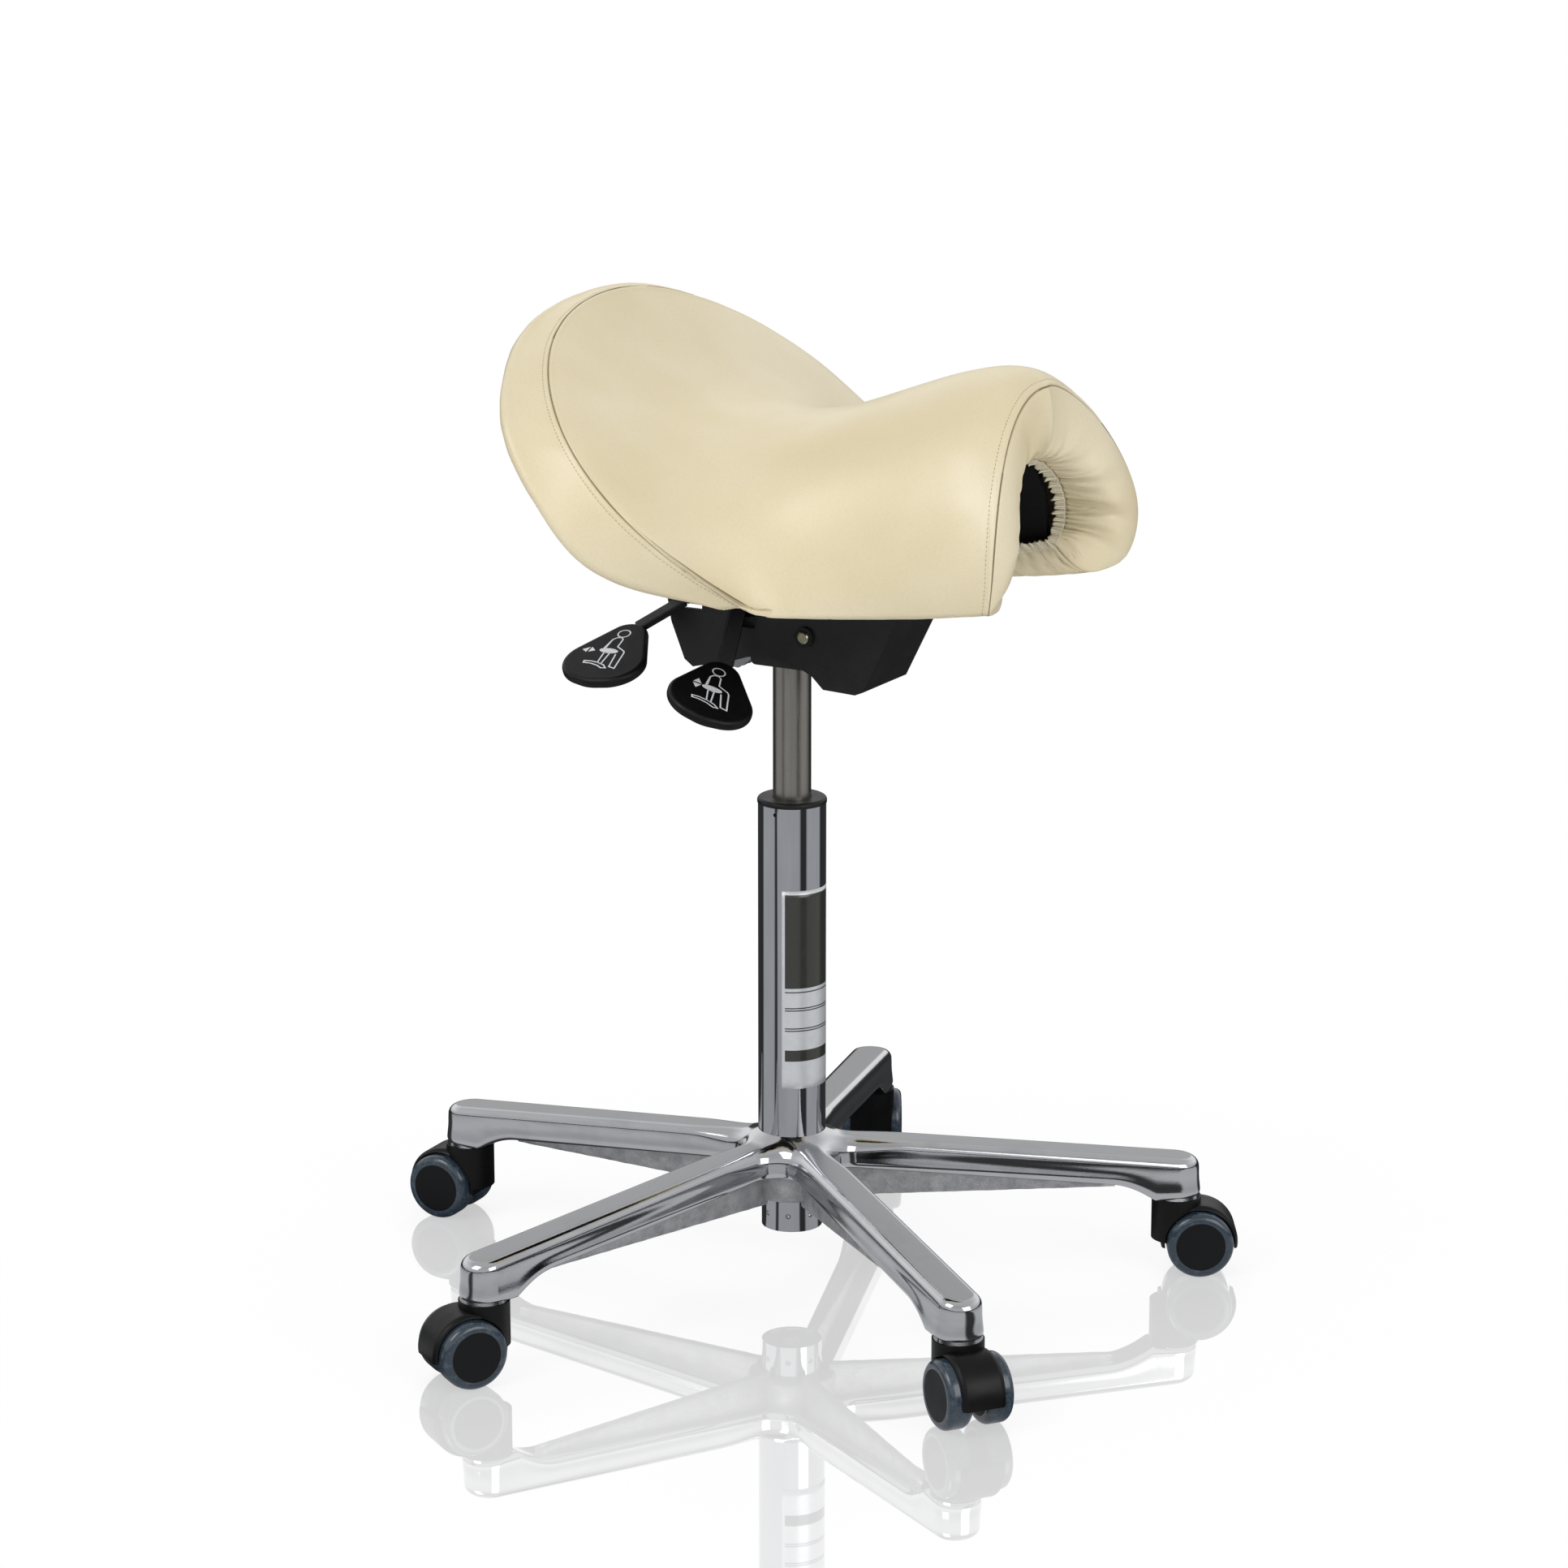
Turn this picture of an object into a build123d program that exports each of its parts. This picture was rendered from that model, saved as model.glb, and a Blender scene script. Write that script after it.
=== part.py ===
"""Saddle stool for a dental surgery: a five-arm castor base, a gas-lift column,
a tilting seat mechanism with two paddle levers, and an upholstered saddle.

Frame: +Z up, +X the way the sitter faces, origin on the column axis at the floor.
All lengths are millimetres and all angles are degrees.
"""
import math
import os

from build123d import *

os.makedirs("parts", exist_ok=True)

# ---------------------------------------------------------------- driving sizes
RUN_GAP = 0.3            # clearance between pieces that move past each other

# star base
ARM_COUNT = 5
FIRST_ARM = 35.0         # heading of the first arm
CASTOR_CIRCLE = 290.0    # radius of the circle through the castor stems
ARM_WIDTH = 29.0
ARM_DEPTH = 23.0         # polished body of an arm, top face to its rounded lower edge
ARM_DROP = 29.0          # fall of the top face from the hub to the castor stem
WEB_RADIUS = 20.0        # hollow curve between two arms
SIDE_TAPER = 3.0
SHOULDER_RADIUS = 6.0
ROLL_RADIUS = 5.0        # rounded lower edge of an arm
TIP_LENGTH = 18.0        # flat underside from the castor stem back towards the hub
TIP_SWEEP = 34.0         # length of the curve from there up to the arm's lower edge
RIM_DIAMETER = 35.0      # rim round the castor socket
RIM_TOP_DIAMETER = 32.0
RIM_HEIGHT = 6.0
TIP_TOP = 90.0           # top face at the castor stem
TIP_UNDERSIDE = 58.3
HUB_TOP = 121.0
HUB_UNDERSIDE = 72.0
HUB_BLOCK_RADIUS = 33.0
NECK_FLARE = 6.0         # width and height of the hollow curve between hub and column
RIB_WIDTH = 18.0
RIB_TAPER = 5.0
RIB_UNDERSIDE = 67.0
RIB_END = 244.0
SOCKET_DEPTH = 26.0

# column
COLUMN_DIAMETER = 50.0
COLUMN_WALL = 2.0
COLUMN_TOP = 371.0
COLUMN_BOTTOM = 46.0
COLUMN_FOOT_DIAMETER = 45.0
TAPER_START = 70.0       # above this height the column widens from its foot
TAPER_END = 112.0
DIMPLE_COUNT = 8
DIMPLE_DIAMETER = 4.0
DIMPLE_HEIGHT = 12.0     # above the column's foot
VENT_DIAMETER = 3.0      # small hole below the column's top edge
VENT_DROP = 5.0
END_PLATE_THICKNESS = 3.0
END_PLATE_LIFT = 1.0
BEARING_DIAMETER = 26.0
BEARING_HEIGHT = 9.0
BUMPER_DIAMETER = 22.0
BUMPER_HEIGHT = 12.0
BUSH_LENGTH = 62.0
BUSH_CAP = 4.0
CAP_OVERHANG = 0.5

# gas lift
ROD_DIAMETER = 10.0
ROD_FOOT_DROP = 3.0      # rod end below the end plate
ROD_LENGTH = 205.0
PISTON_DIAMETER = 23.0
PISTON_HEIGHT = 14.0
CLIP_DIAMETER = 17.0
CLIP_THICKNESS = 1.2
CYLINDER_DIAMETER = 28.0
CYLINDER_WALL = 2.0
CYLINDER_BOTTOM = 140.0
CYLINDER_CLOSURE = 14.0  # rod guide closing the lower end
TAPER_NOSE_DIAMETER = 26.0
VALVE_PIN_DIAMETER = 5.0
VALVE_PIN_LENGTH = 16.0
VALVE_TRAVEL = 3.6

# seat mechanism
PIVOT_X = 29.0
PIVOT_Z = 503.5
HOUSING_HALF_WIDTH = 33.0
PLATE = 3.0
HOUSING_TOP = 536.0
CORE_GAP = 3.0           # core to side plate
CORE_BOTTOM = 477.0
CORE_TOP = 512.0
CORE_REACH = 19.0        # core behind the column axis
PIVOT_BOSS_RADIUS = 14.0
PIVOT_BOLT_DIAMETER = 9.0
PIVOT_BOLT_PROUD = 4.0
BUSH_DIAMETER = 12.0
BUSH_FLANGE_DIAMETER = 15.0
BUSH_FLANGE = 2.5
NUT_DIAMETER = 13.0
NUT_HEIGHT = 5.0
TILT_BACK = 8.0          # pommel up
TILT_FORWARD = 10.0      # pommel down
CLAMP_X = -55.0
CLAMP_Z = 495.0
CLAMP_DIAMETER = 8.0
CLAMP_COLLAR = 16.0
LOCK_PLATE = 2.5
LOCK_PLATE_PITCH = 8.0
LOCK_PLATE_COUNT = 3
SCREW_DIAMETER = 6.0
SCREW_HEAD = 11.0

# levers: where each bar leaves its pin, passes the side plate, meets its paddle
LEVER_PIN_DIAMETER = 6.0
BAR_WIDTH = 9.0
BAR_THICKNESS = 5.0
BAR_SPREAD = 12.0        # width outside the housing, where the bar lies flat with its paddle
HEIGHT_PIN = (-14.0, -18.0, 519.5)
HEIGHT_BAR = [(-22, -20, 519.5), (-22, -40, 519.5), (-24, -55, 481)]
HEIGHT_PADDLE = (-9, -102, 465.5)
HEIGHT_FACING = (0.42, -0.16, 0.89)
TILT_PIN = (-62.0, -20.0, 524.0)
TILT_BAR = [(-62, -22, 524), (-66, -40, 521.5), (-98, -54, 500)]
TILT_PADDLE = (-97.5, -100, 482.5)
TILT_FACING = (0.02, -0.35, 0.94)
PADDLE_HEEL = 25.5       # radius of the two broad corners
PADDLE_SPREAD = 6.0      # each corner from the middle line
PADDLE_TOE = 15.0        # radius of the end that takes the bar
PADDLE_LENGTH = 35.0     # from the corners' centres to the toe's
PADDLE_BELLY = 1.5       # how far the broad side bulges
PADDLE_THICKNESS = 8.0

# saddle, five stations from the rear seam to the front seam
APEX_X = (-153, -78, 16, 120, 208)
APEX_Z = (735, 674, 661, 693, 695)
FOOT_X = (36, 56, 84, 134, 217)
FOOT_Z = (541, 537, 535, 539, 550)
HALF_WIDTH = (150, 136, 113, 99, 103)
CROWN = (140, 118, 100, 93, 62)      # half width of the flat part of the crown
FLARE = (104, 72, 36, 29, 37)        # how far the side swells beyond the foot
KNEE = (95, 66, 50, 48, 49)          # height of that swelling
REAR_BACK = (-201, 704, 6, 546)     # lower edge of the rear boxing: apex x z, foot x z
REAR_SHRINK = 0.93
BOXING_BULGE = 7.0
FRONT_NOSE = 7.0                     # rounded edge in front of the front seam
FRONT_INSET = 7.0
SECTIONS_PER_STATION = 2
LEANING_STATIONS = 2.5   # stations over which the sections lean back
COVER = 1.5
HEM_TURN = 3.0           # layers of cover folded under the foot of the saddle
SHELL = 5.0
SHELL_SETBACK = 34.0     # shell ends this far inside the front seam
# hollow under the pad, five stations from the rear to the front opening
HOLLOW_APEX_X = (-150, -70, 16, 120, 240)
HOLLOW_APEX_Z = (648, 624, 614, 642, 640)
HOLLOW_FOOT_X = (0, 38, 75, 135, 245)
HOLLOW_FOOT_Z = 505
HOLLOW_HALF_WIDTH = (100, 98, 80, 66, 66)
HOLLOW_CROWN = (80, 78, 64, 54, 42)
HOLLOW_FLARE = (30, 26, 16, 12, 14)
HOLLOW_KNEE = (90, 80, 80, 84, 84)
BOARD_THICKNESS = 10.0
BOARD_REAR = -92.0
BOARD_FRONT = 112.0
BOARD_HALF_WIDTH = 38.0     # behind the legs; between them it reaches the shell
HEM = 3.0

# castors
WHEEL_DIAMETER = 50.0
WHEEL_WIDTH = 19.0
TREAD = 6.5
TREAD_ROUND = 5.0
TRAIL = 17.0             # stem axis to wheel axis
CASTOR_HEADINGS = (30, 120, 183, 237, 323)   # where each castor trails to rest
CENTRE_WEB = 11.0        # hood between its two wheels
WHEEL_SIDE_GAP = 0.4
FENDER_GAP = 1.2
FENDER = 2.6
DOME_ROUND = 5.0
FENDER_HALF_WIDTH = 17.0
HOOD_UNDERSIDE = 21.0     # open edge of the fenders above the floor
HUB_RADIUS = 11.0
COLLAR_DIAMETER = 37.0
COLLAR_HEIGHT = 12.0
STEM_DIAMETER = 11.0
AXLE_DIAMETER = 8.0

# ---------------------------------------------------------------- derived sizes
AXLE_HEIGHT = WHEEL_DIAMETER / 2
ARM_STEP = 360 / ARM_COUNT
END_PLATE_Z = COLUMN_BOTTOM + END_PLATE_LIFT
BEARING_Z = END_PLATE_Z + END_PLATE_THICKNESS
BUMPER_Z = BEARING_Z + BEARING_HEIGHT
HOUSING_INSIDE = HOUSING_HALF_WIDTH - PLATE
CORE_HALF_WIDTH = HOUSING_INSIDE - CORE_GAP
CLAMP_RADIUS = math.hypot(CLAMP_X - PIVOT_X, CLAMP_Z - PIVOT_Z)
CLAMP_ANGLE = math.degrees(math.atan2(CLAMP_Z - PIVOT_Z, CLAMP_X - PIVOT_X)) % 360


def write(node, *solids):
    """One STEP file per named piece, or per group of like pieces."""
    shape = solids[0] if len(solids) == 1 else Compound(children=list(solids))
    shape.label = node
    export_step(shape, f"parts/{node}.step")


def rod(diameter, z_low, z_high, x=0.0, y=0.0):
    """Upright round bar between two heights."""
    return Pos(x, y, (z_low + z_high) / 2) * Cylinder(diameter / 2, z_high - z_low)


def cross_rod(diameter, y_low, y_high, x, z):
    """Round bar along Y."""
    bar = Cylinder(diameter / 2, y_high - y_low)
    return Pos(x, (y_low + y_high) / 2, z) * Rot(90, 0, 0) * bar


def side_profile(points, half_width):
    """Outline in X and Z, given thickness across Y about the middle plane."""
    face = make_face(Polyline(*points, close=True))
    return extrude(Plane.XZ * face, half_width, both=True)


# ---------------------------------------------------------------- star base
def column_radius(z):
    """Outer radius of the column, which narrows to its foot."""
    share = min(max((z - TAPER_START) / (TAPER_END - TAPER_START), 0), 1)
    return (COLUMN_FOOT_DIAMETER + share * (COLUMN_DIAMETER - COLUMN_FOOT_DIAMETER)) / 2


def column_outline(shrink=0.0):
    heights = (COLUMN_BOTTOM, TAPER_START, TAPER_END, COLUMN_TOP)
    return [(column_radius(z) - shrink, z) for z in heights]


def turned(points):
    """Solid of revolution from an outline of radius and height, closed on the axis."""
    low, high = points[0][1], points[-1][1]
    outline = [(0, low), *points, (0, high)]
    return revolve(Plane.XZ * make_face(Polyline(*outline, close=True)), Axis.Z)


def star_base():
    reach = CASTOR_CIRCLE / 2
    arms = [
        Rot(0, 0, FIRST_ARM + k * ARM_STEP) * Pos(reach, 0) * Rectangle(CASTOR_CIRCLE, ARM_WIDTH)
        for k in range(ARM_COUNT)
    ]
    plan = Sketch() + arms
    corners = plan.vertices().sort_by_distance((0, 0, 0))[:ARM_COUNT]
    plan = fillet(corners, WEB_RADIUS)
    plan += [
        Rot(0, 0, FIRST_ARM + k * ARM_STEP) * Pos(CASTOR_CIRCLE, 0) * Circle(ARM_WIDTH / 2)
        for k in range(ARM_COUNT)
    ]
    slope = ARM_DROP / CASTOR_CIRCLE
    hub_height = TIP_TOP + ARM_DROP
    far = CASTOR_CIRCLE + ARM_WIDTH
    tip_in = CASTOR_CIRCLE - TIP_LENGTH
    rise_end = tip_in - TIP_SWEEP
    rise_height = hub_height - ARM_DEPTH - slope * rise_end
    body = extrude(Pos(0, 0, hub_height) * plan, -(hub_height - TIP_UNDERSIDE), taper=-SIDE_TAPER)
    end_height = hub_height - slope * far
    top = Polyline((0, hub_height), (far, end_height), (far, TIP_UNDERSIDE), (tip_in, TIP_UNDERSIDE))
    sweep = Spline((tip_in, TIP_UNDERSIDE), (rise_end, rise_height), tangents=[(-0.85, 0.6), (-1, slope)])
    inner = Polyline((rise_end, rise_height), (0, hub_height - ARM_DEPTH), (0, hub_height))
    body &= revolve(Plane.XZ * make_face(top + sweep + inner), Axis.Z)
    shoulder = [e for e in body.edges() if e.center().Z > TIP_TOP - 8 and on_top(e, hub_height, slope)]
    body = fillet(shoulder, SHOULDER_RADIUS)
    lower = [e for e in body.edges() if below_sides(e, hub_height, slope)]
    body = fillet(lower, ROLL_RADIUS)
    body += rod(2 * HUB_BLOCK_RADIUS, HUB_UNDERSIDE, hub_height - ARM_DEPTH / 2)
    rib_height = hub_height - RIB_UNDERSIDE
    rib_plan = Pos(RIB_END / 2, 0, hub_height) * Rectangle(RIB_END, RIB_WIDTH)
    rib = extrude(rib_plan, -rib_height, taper=RIB_TAPER)
    rib &= envelope_below(hub_height, slope)
    rim_middle = TIP_UNDERSIDE + RIM_HEIGHT / 2
    rim = Pos(CASTOR_CIRCLE, 0, rim_middle) * Cone(RIM_DIAMETER / 2, RIM_TOP_DIAMETER / 2, RIM_HEIGHT)
    for k in range(ARM_COUNT):
        body += Rot(0, 0, FIRST_ARM + k * ARM_STEP) * rib
        body += Rot(0, 0, FIRST_ARM + k * ARM_STEP) * rim
    inner_radius, neck = COLUMN_DIAMETER / 2, COLUMN_DIAMETER / 2 + NECK_FLARE
    flare = Polyline((0, HUB_TOP), (inner_radius, HUB_TOP))
    curve = RadiusArc((inner_radius, HUB_TOP), (neck, HUB_TOP - NECK_FLARE), NECK_FLARE)
    rest = Polyline((neck, HUB_TOP - NECK_FLARE), (0, HUB_TOP - NECK_FLARE), (0, HUB_TOP))
    body += revolve(Plane.XZ * make_face(flare + curve + rest), Axis.Z)
    body -= turned(column_outline())
    for k in range(ARM_COUNT):
        heading = math.radians(FIRST_ARM + k * ARM_STEP)
        x, y = CASTOR_CIRCLE * math.cos(heading), CASTOR_CIRCLE * math.sin(heading)
        body -= rod(STEM_DIAMETER + 2 * RUN_GAP, 0, TIP_UNDERSIDE + SOCKET_DEPTH, x, y)
    return body


def below_sides(edge, hub_height, slope):
    """True for an edge where the sides of the arms meet their underside."""
    at = edge.position_at(0.5)
    return at.Z < min(TIP_TOP - 8, hub_height - slope * math.hypot(at.X, at.Y) - ARM_DEPTH + 1)


def on_top(edge, hub_height, slope):
    """True for an edge that lies on the sloping top face."""
    at = edge.position_at(0.3)
    return abs(hub_height - slope * math.hypot(at.X, at.Y) - at.Z) < 0.05


def envelope_below(hub_height, slope):
    """Space under the arms' mid depth, in which the ribs end."""
    drop = ARM_DEPTH / 2
    points = [(0, hub_height - drop), (CASTOR_CIRCLE, hub_height - drop - slope * CASTOR_CIRCLE)]
    points += [(CASTOR_CIRCLE, 0), (0, 0)]
    return revolve(Plane.XZ * make_face(Polyline(*points, close=True)), Axis.Z)


write("star_base", star_base())


# ---------------------------------------------------------------- column
def column_tube():
    tube = turned(column_outline()) - turned(column_outline(COLUMN_WALL))
    for k in range(DIMPLE_COUNT):
        punch = Pos(COLUMN_FOOT_DIAMETER / 2, 0, COLUMN_BOTTOM + DIMPLE_HEIGHT) * Sphere(DIMPLE_DIAMETER / 2)
        tube -= Rot(0, 0, (k + 0.5) * 360 / DIMPLE_COUNT) * punch
    vent = Pos(0, -COLUMN_DIAMETER / 2, COLUMN_TOP - VENT_DROP) * Rot(90, 0, 0)
    return tube - vent * Cylinder(VENT_DIAMETER / 2, 2 * COLUMN_WALL + 2)


def guide_bush():
    bore = CYLINDER_DIAMETER + 2 * RUN_GAP
    bush = rod(COLUMN_DIAMETER - 2 * COLUMN_WALL, COLUMN_TOP - BUSH_LENGTH, COLUMN_TOP)
    cap = rod(COLUMN_DIAMETER + 2 * CAP_OVERHANG, COLUMN_TOP, COLUMN_TOP + BUSH_CAP)
    cap = fillet(cap.edges().group_by(Axis.Z)[-1], BUSH_CAP * 0.6)
    return bush + cap - rod(bore, 0, COLUMN_TOP + 2 * BUSH_CAP)


def ring(outer, inner, z_low, z_high):
    return rod(outer, z_low, z_high) - rod(inner, z_low - 1, z_high + 1)


def end_plate():
    inside = COLUMN_FOOT_DIAMETER - 2 * COLUMN_WALL
    return ring(inside, ROD_DIAMETER + 2 * RUN_GAP, END_PLATE_Z, BEARING_Z)


def piston_rod():
    foot = END_PLATE_Z - ROD_FOOT_DROP
    return rod(ROD_DIAMETER, foot, foot + ROD_LENGTH) + rod(
        PISTON_DIAMETER, foot + ROD_LENGTH, foot + ROD_LENGTH + PISTON_HEIGHT)


write("column_tube", column_tube())
write("guide_bush", guide_bush())
write("column_end_plate", end_plate())
write("thrust_bearing", ring(BEARING_DIAMETER, ROD_DIAMETER + 2 * RUN_GAP, BEARING_Z, BUMPER_Z))
write("bump_stop", ring(BUMPER_DIAMETER, ROD_DIAMETER + 2 * RUN_GAP, BUMPER_Z, BUMPER_Z + BUMPER_HEIGHT))
write("piston_rod", piston_rod())
clip_top = END_PLATE_Z - RUN_GAP
write("retaining_clip", ring(CLIP_DIAMETER, ROD_DIAMETER, clip_top - CLIP_THICKNESS, clip_top))


# ---------------------------------------------------------------- gas cylinder
def cylinder_radius(z):
    """Outer radius of the gas cylinder, whose nose is a slow taper."""
    share = min(max((z - CORE_BOTTOM) / (CORE_TOP - CORE_BOTTOM), 0), 1)
    return (CYLINDER_DIAMETER - share * (CYLINDER_DIAMETER - TAPER_NOSE_DIAMETER)) / 2


def cylinder_outside():
    return turned([(cylinder_radius(z), z) for z in (CYLINDER_BOTTOM, CORE_BOTTOM, CORE_TOP)])


def gas_cylinder():
    chamber_top = CORE_TOP - VALVE_PIN_LENGTH - 2 * VALVE_TRAVEL
    chamber = rod(CYLINDER_DIAMETER - 2 * CYLINDER_WALL, CYLINDER_BOTTOM + CYLINDER_CLOSURE, chamber_top)
    body = cylinder_outside() - chamber
    body -= rod(ROD_DIAMETER + 2 * RUN_GAP, 0, CYLINDER_BOTTOM + 2 * CYLINDER_CLOSURE)
    return body - rod(VALVE_PIN_DIAMETER + 2 * RUN_GAP, chamber_top, CORE_TOP + 1)


valve_top = CORE_TOP + 5.0
write("gas_cylinder", gas_cylinder())
write("release_pin", rod(VALVE_PIN_DIAMETER, valve_top - VALVE_PIN_LENGTH, valve_top))


# ---------------------------------------------------------------- tilt core
LUG = 4.0
HEIGHT_LUGS = (-33.0, 3.0)   # near face of each lug along X


def tilt_core():
    block = Pos((PIVOT_X - CORE_REACH) / 2, 0, (CORE_BOTTOM + CORE_TOP) / 2) * Box(
        PIVOT_X + CORE_REACH, 2 * CORE_HALF_WIDTH, CORE_TOP - CORE_BOTTOM)
    boss = cross_rod(2 * PIVOT_BOSS_RADIUS, -CORE_HALF_WIDTH, CORE_HALF_WIDTH, PIVOT_X, PIVOT_Z)
    body = block + boss
    body = fillet(body.edges().filter_by(Axis.Y).group_by(Axis.Z)[0], 4)
    for x in HEIGHT_LUGS:
        foot = Pos(x + LUG / 2, HEIGHT_PIN[1], (CORE_TOP - 8 + HEIGHT_PIN[2]) / 2)
        body += foot * Box(LUG, 9, HEIGHT_PIN[2] - CORE_TOP + 8)
        body += Pos(x + LUG / 2, HEIGHT_PIN[1], HEIGHT_PIN[2]) * Rot(0, 90, 0) * Cylinder(4.5, LUG)
    shelf = Pos(HEIGHT_LUGS[0] / 2 - CORE_REACH / 2 + 2, HEIGHT_PIN[1], CORE_TOP - 6)
    body += shelf * Box(-HEIGHT_LUGS[0] - CORE_REACH + 4, 9, 8)
    body -= lever_pin(HEIGHT_PIN, HEIGHT_LUGS[0] - 1, HEIGHT_LUGS[1] + LUG + 1)
    body -= cylinder_outside()
    body -= rod(VALVE_PIN_DIAMETER + 4, CORE_TOP - 1, CORE_TOP + 9)
    return body - cross_rod(PIVOT_BOLT_DIAMETER, -CORE_HALF_WIDTH - 1, CORE_HALF_WIDTH + 1, PIVOT_X, PIVOT_Z)


def lever_pin(place, x_low, x_high):
    bar = Cylinder(LEVER_PIN_DIAMETER / 2, x_high - x_low)
    return Pos((x_low + x_high) / 2, place[1], place[2]) * Rot(0, 90, 0) * bar


def lock_plate():
    """Rear arm of the core with the curved slot that the clamp bolt slides in."""
    plate = side_profile([(-CORE_REACH, 482), (-CORE_REACH, 508), (-60, 516), (-70, 512),
                          (-72, 478), (-62, 470), (-40, 468)], LOCK_PLATE / 2)
    margin = 1.0
    arc = CenterArc((PIVOT_X, PIVOT_Z), CLAMP_RADIUS, CLAMP_ANGLE - TILT_FORWARD - margin,
                    TILT_BACK + TILT_FORWARD + 2 * margin)
    slot = SlotArc(arc, CLAMP_DIAMETER + 2 * RUN_GAP)
    return plate - extrude(Plane.XZ * slot, LOCK_PLATE, both=True)


def pivot_bolt():
    end = HOUSING_HALF_WIDTH + PIVOT_BOLT_PROUD
    bolt = cross_rod(PIVOT_BOLT_DIAMETER, -end, end, PIVOT_X, PIVOT_Z)
    return chamfer(bolt.edges(), 1)


write("tilt_core", tilt_core())
write("lock_plates", *[Pos(0, (k - 1) * LOCK_PLATE_PITCH, 0) * lock_plate() for k in range(LOCK_PLATE_COUNT)])
write("pivot_bolt", pivot_bolt())
write("height_lever_pin", lever_pin(HEIGHT_PIN, HEIGHT_LUGS[0], HEIGHT_LUGS[1] + LUG))


# ---------------------------------------------------------------- tilt housing
LEVER_SLOT = 20.0


def tilt_housing():
    outline = [(-88, HOUSING_TOP), (-82, 503), (-71, 476), (-64, 471), (-28, 480), (-18, 483.5),
               (0, 486), (14, 485), (24, 480.5), (35, 475), (44, 466.5), (70, 465.5), (76, 468),
               (110, HOUSING_TOP)]
    inside = [(-100, HOUSING_TOP - PLATE), (-100, 440), (74, 440), (74, 471),
              (105, HOUSING_TOP - PLATE)]
    body = side_profile(outline, HOUSING_HALF_WIDTH) - side_profile(inside, HOUSING_INSIDE)
    body = body - slot_for(HEIGHT_BAR[1][0], 505) - slot_for(TILT_BAR[1][0], 514)
    body -= cross_rod(BUSH_DIAMETER, -HOUSING_HALF_WIDTH - 1, HOUSING_HALF_WIDTH + 1, PIVOT_X, PIVOT_Z)
    for x in (TILT_PIN[0] - 11, TILT_PIN[0] + 7):
        lug = Pos(x + 2, TILT_PIN[1], (TILT_PIN[2] - 5 + HOUSING_TOP - PLATE) / 2)
        body += lug * Box(4, 9, HOUSING_TOP - PLATE - TILT_PIN[2] + 5)
    body -= lever_pin(TILT_PIN, TILT_PIN[0] - 12, TILT_PIN[0] + 12)
    for x, y in screw_places():
        body -= rod(SCREW_DIAMETER, HOUSING_TOP - 2 * PLATE, HOUSING_TOP + 1, x, y)
    return body


def slot_for(x, z_low):
    """Slot in the near plate that lets a lever bar out."""
    height = HOUSING_TOP - PLATE - z_low
    return Pos(x, -HOUSING_HALF_WIDTH + PLATE / 2, z_low + height / 2) * Box(LEVER_SLOT, PLATE + 2, height)


def screw_places():
    return [(x, y) for x in (-80, 94) for y in (-22, 22)]


def pivot_bush(side):
    plate = HOUSING_HALF_WIDTH
    sleeve = cross_rod(BUSH_DIAMETER, plate - PLATE - CORE_GAP + RUN_GAP, plate, PIVOT_X, PIVOT_Z)
    flange = cross_rod(BUSH_FLANGE_DIAMETER, plate, plate + BUSH_FLANGE, PIVOT_X, PIVOT_Z)
    bore = cross_rod(PIVOT_BOLT_DIAMETER + 2 * RUN_GAP, 0, plate + 9, PIVOT_X, PIVOT_Z)
    bush = sleeve + flange - bore
    return bush if side > 0 else mirror(bush, Plane.XZ)


def clamp_bolt():
    bolt = cross_rod(CLAMP_DIAMETER, -HOUSING_INSIDE, HOUSING_INSIDE, CLAMP_X, CLAMP_Z)
    collar_low = LOCK_PLATE_PITCH + LOCK_PLATE / 2 + RUN_GAP
    for low in (collar_low, -collar_low - 3):
        bolt += cross_rod(CLAMP_COLLAR, low, low + 3, CLAMP_X, CLAMP_Z)
    return bolt


def seat_screw(x, y):
    head = rod(SCREW_HEAD, HOUSING_TOP - PLATE - 3.5, HOUSING_TOP - PLATE, x, y)
    return head + rod(SCREW_DIAMETER, HOUSING_TOP - PLATE, HOUSING_TOP + BOARD_THICKNESS - 2, x, y)


write("tilt_housing", tilt_housing())
write("pivot_bushes", pivot_bush(1), pivot_bush(-1))
write("clamp_bolt", clamp_bolt())
write("tilt_lever_pin", lever_pin(TILT_PIN, TILT_PIN[0] - 11, TILT_PIN[0] + 11))
write("seat_screws", *[seat_screw(x, y) for x, y in screw_places()])


# ---------------------------------------------------------------- levers
def bar_run(start, end, width, facing=(0, 0, 1)):
    """Flat bar between two points, with a rounded end, its broad side to the facing."""
    axis = Vector(*end) - Vector(*start)
    plane = Plane(origin=start, z_dir=axis, x_dir=axis.cross(Vector(*facing)))
    run = extrude(plane * RectangleRounded(width, BAR_THICKNESS, 1.5), axis.length)
    return run + Pos(*end) * Sphere(BAR_THICKNESS / 2)


def lever_bar(pin, points, facing, finger_end, pin_room):
    """Finger inside the housing, eye on the pin, and the bar out to the paddle."""
    eye = lever_eye(pin, pin_room)
    body = eye + bar_run(points[0], points[1], BAR_WIDTH)
    body += bar_run(points[1], points[2], BAR_SPREAD, facing)
    low, high = finger_end
    reach = high[1] - pin[1]
    finger = Box(high[0] - low[0], reach, 3.5)
    body += Pos((low[0] + high[0]) / 2, pin[1] + reach / 2, pin[2]) * finger
    hole = LEVER_PIN_DIAMETER + 2 * RUN_GAP
    return body - Pos(pin[0], pin[1], pin[2]) * Rot(0, 90, 0) * Cylinder(hole / 2, 80)


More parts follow.
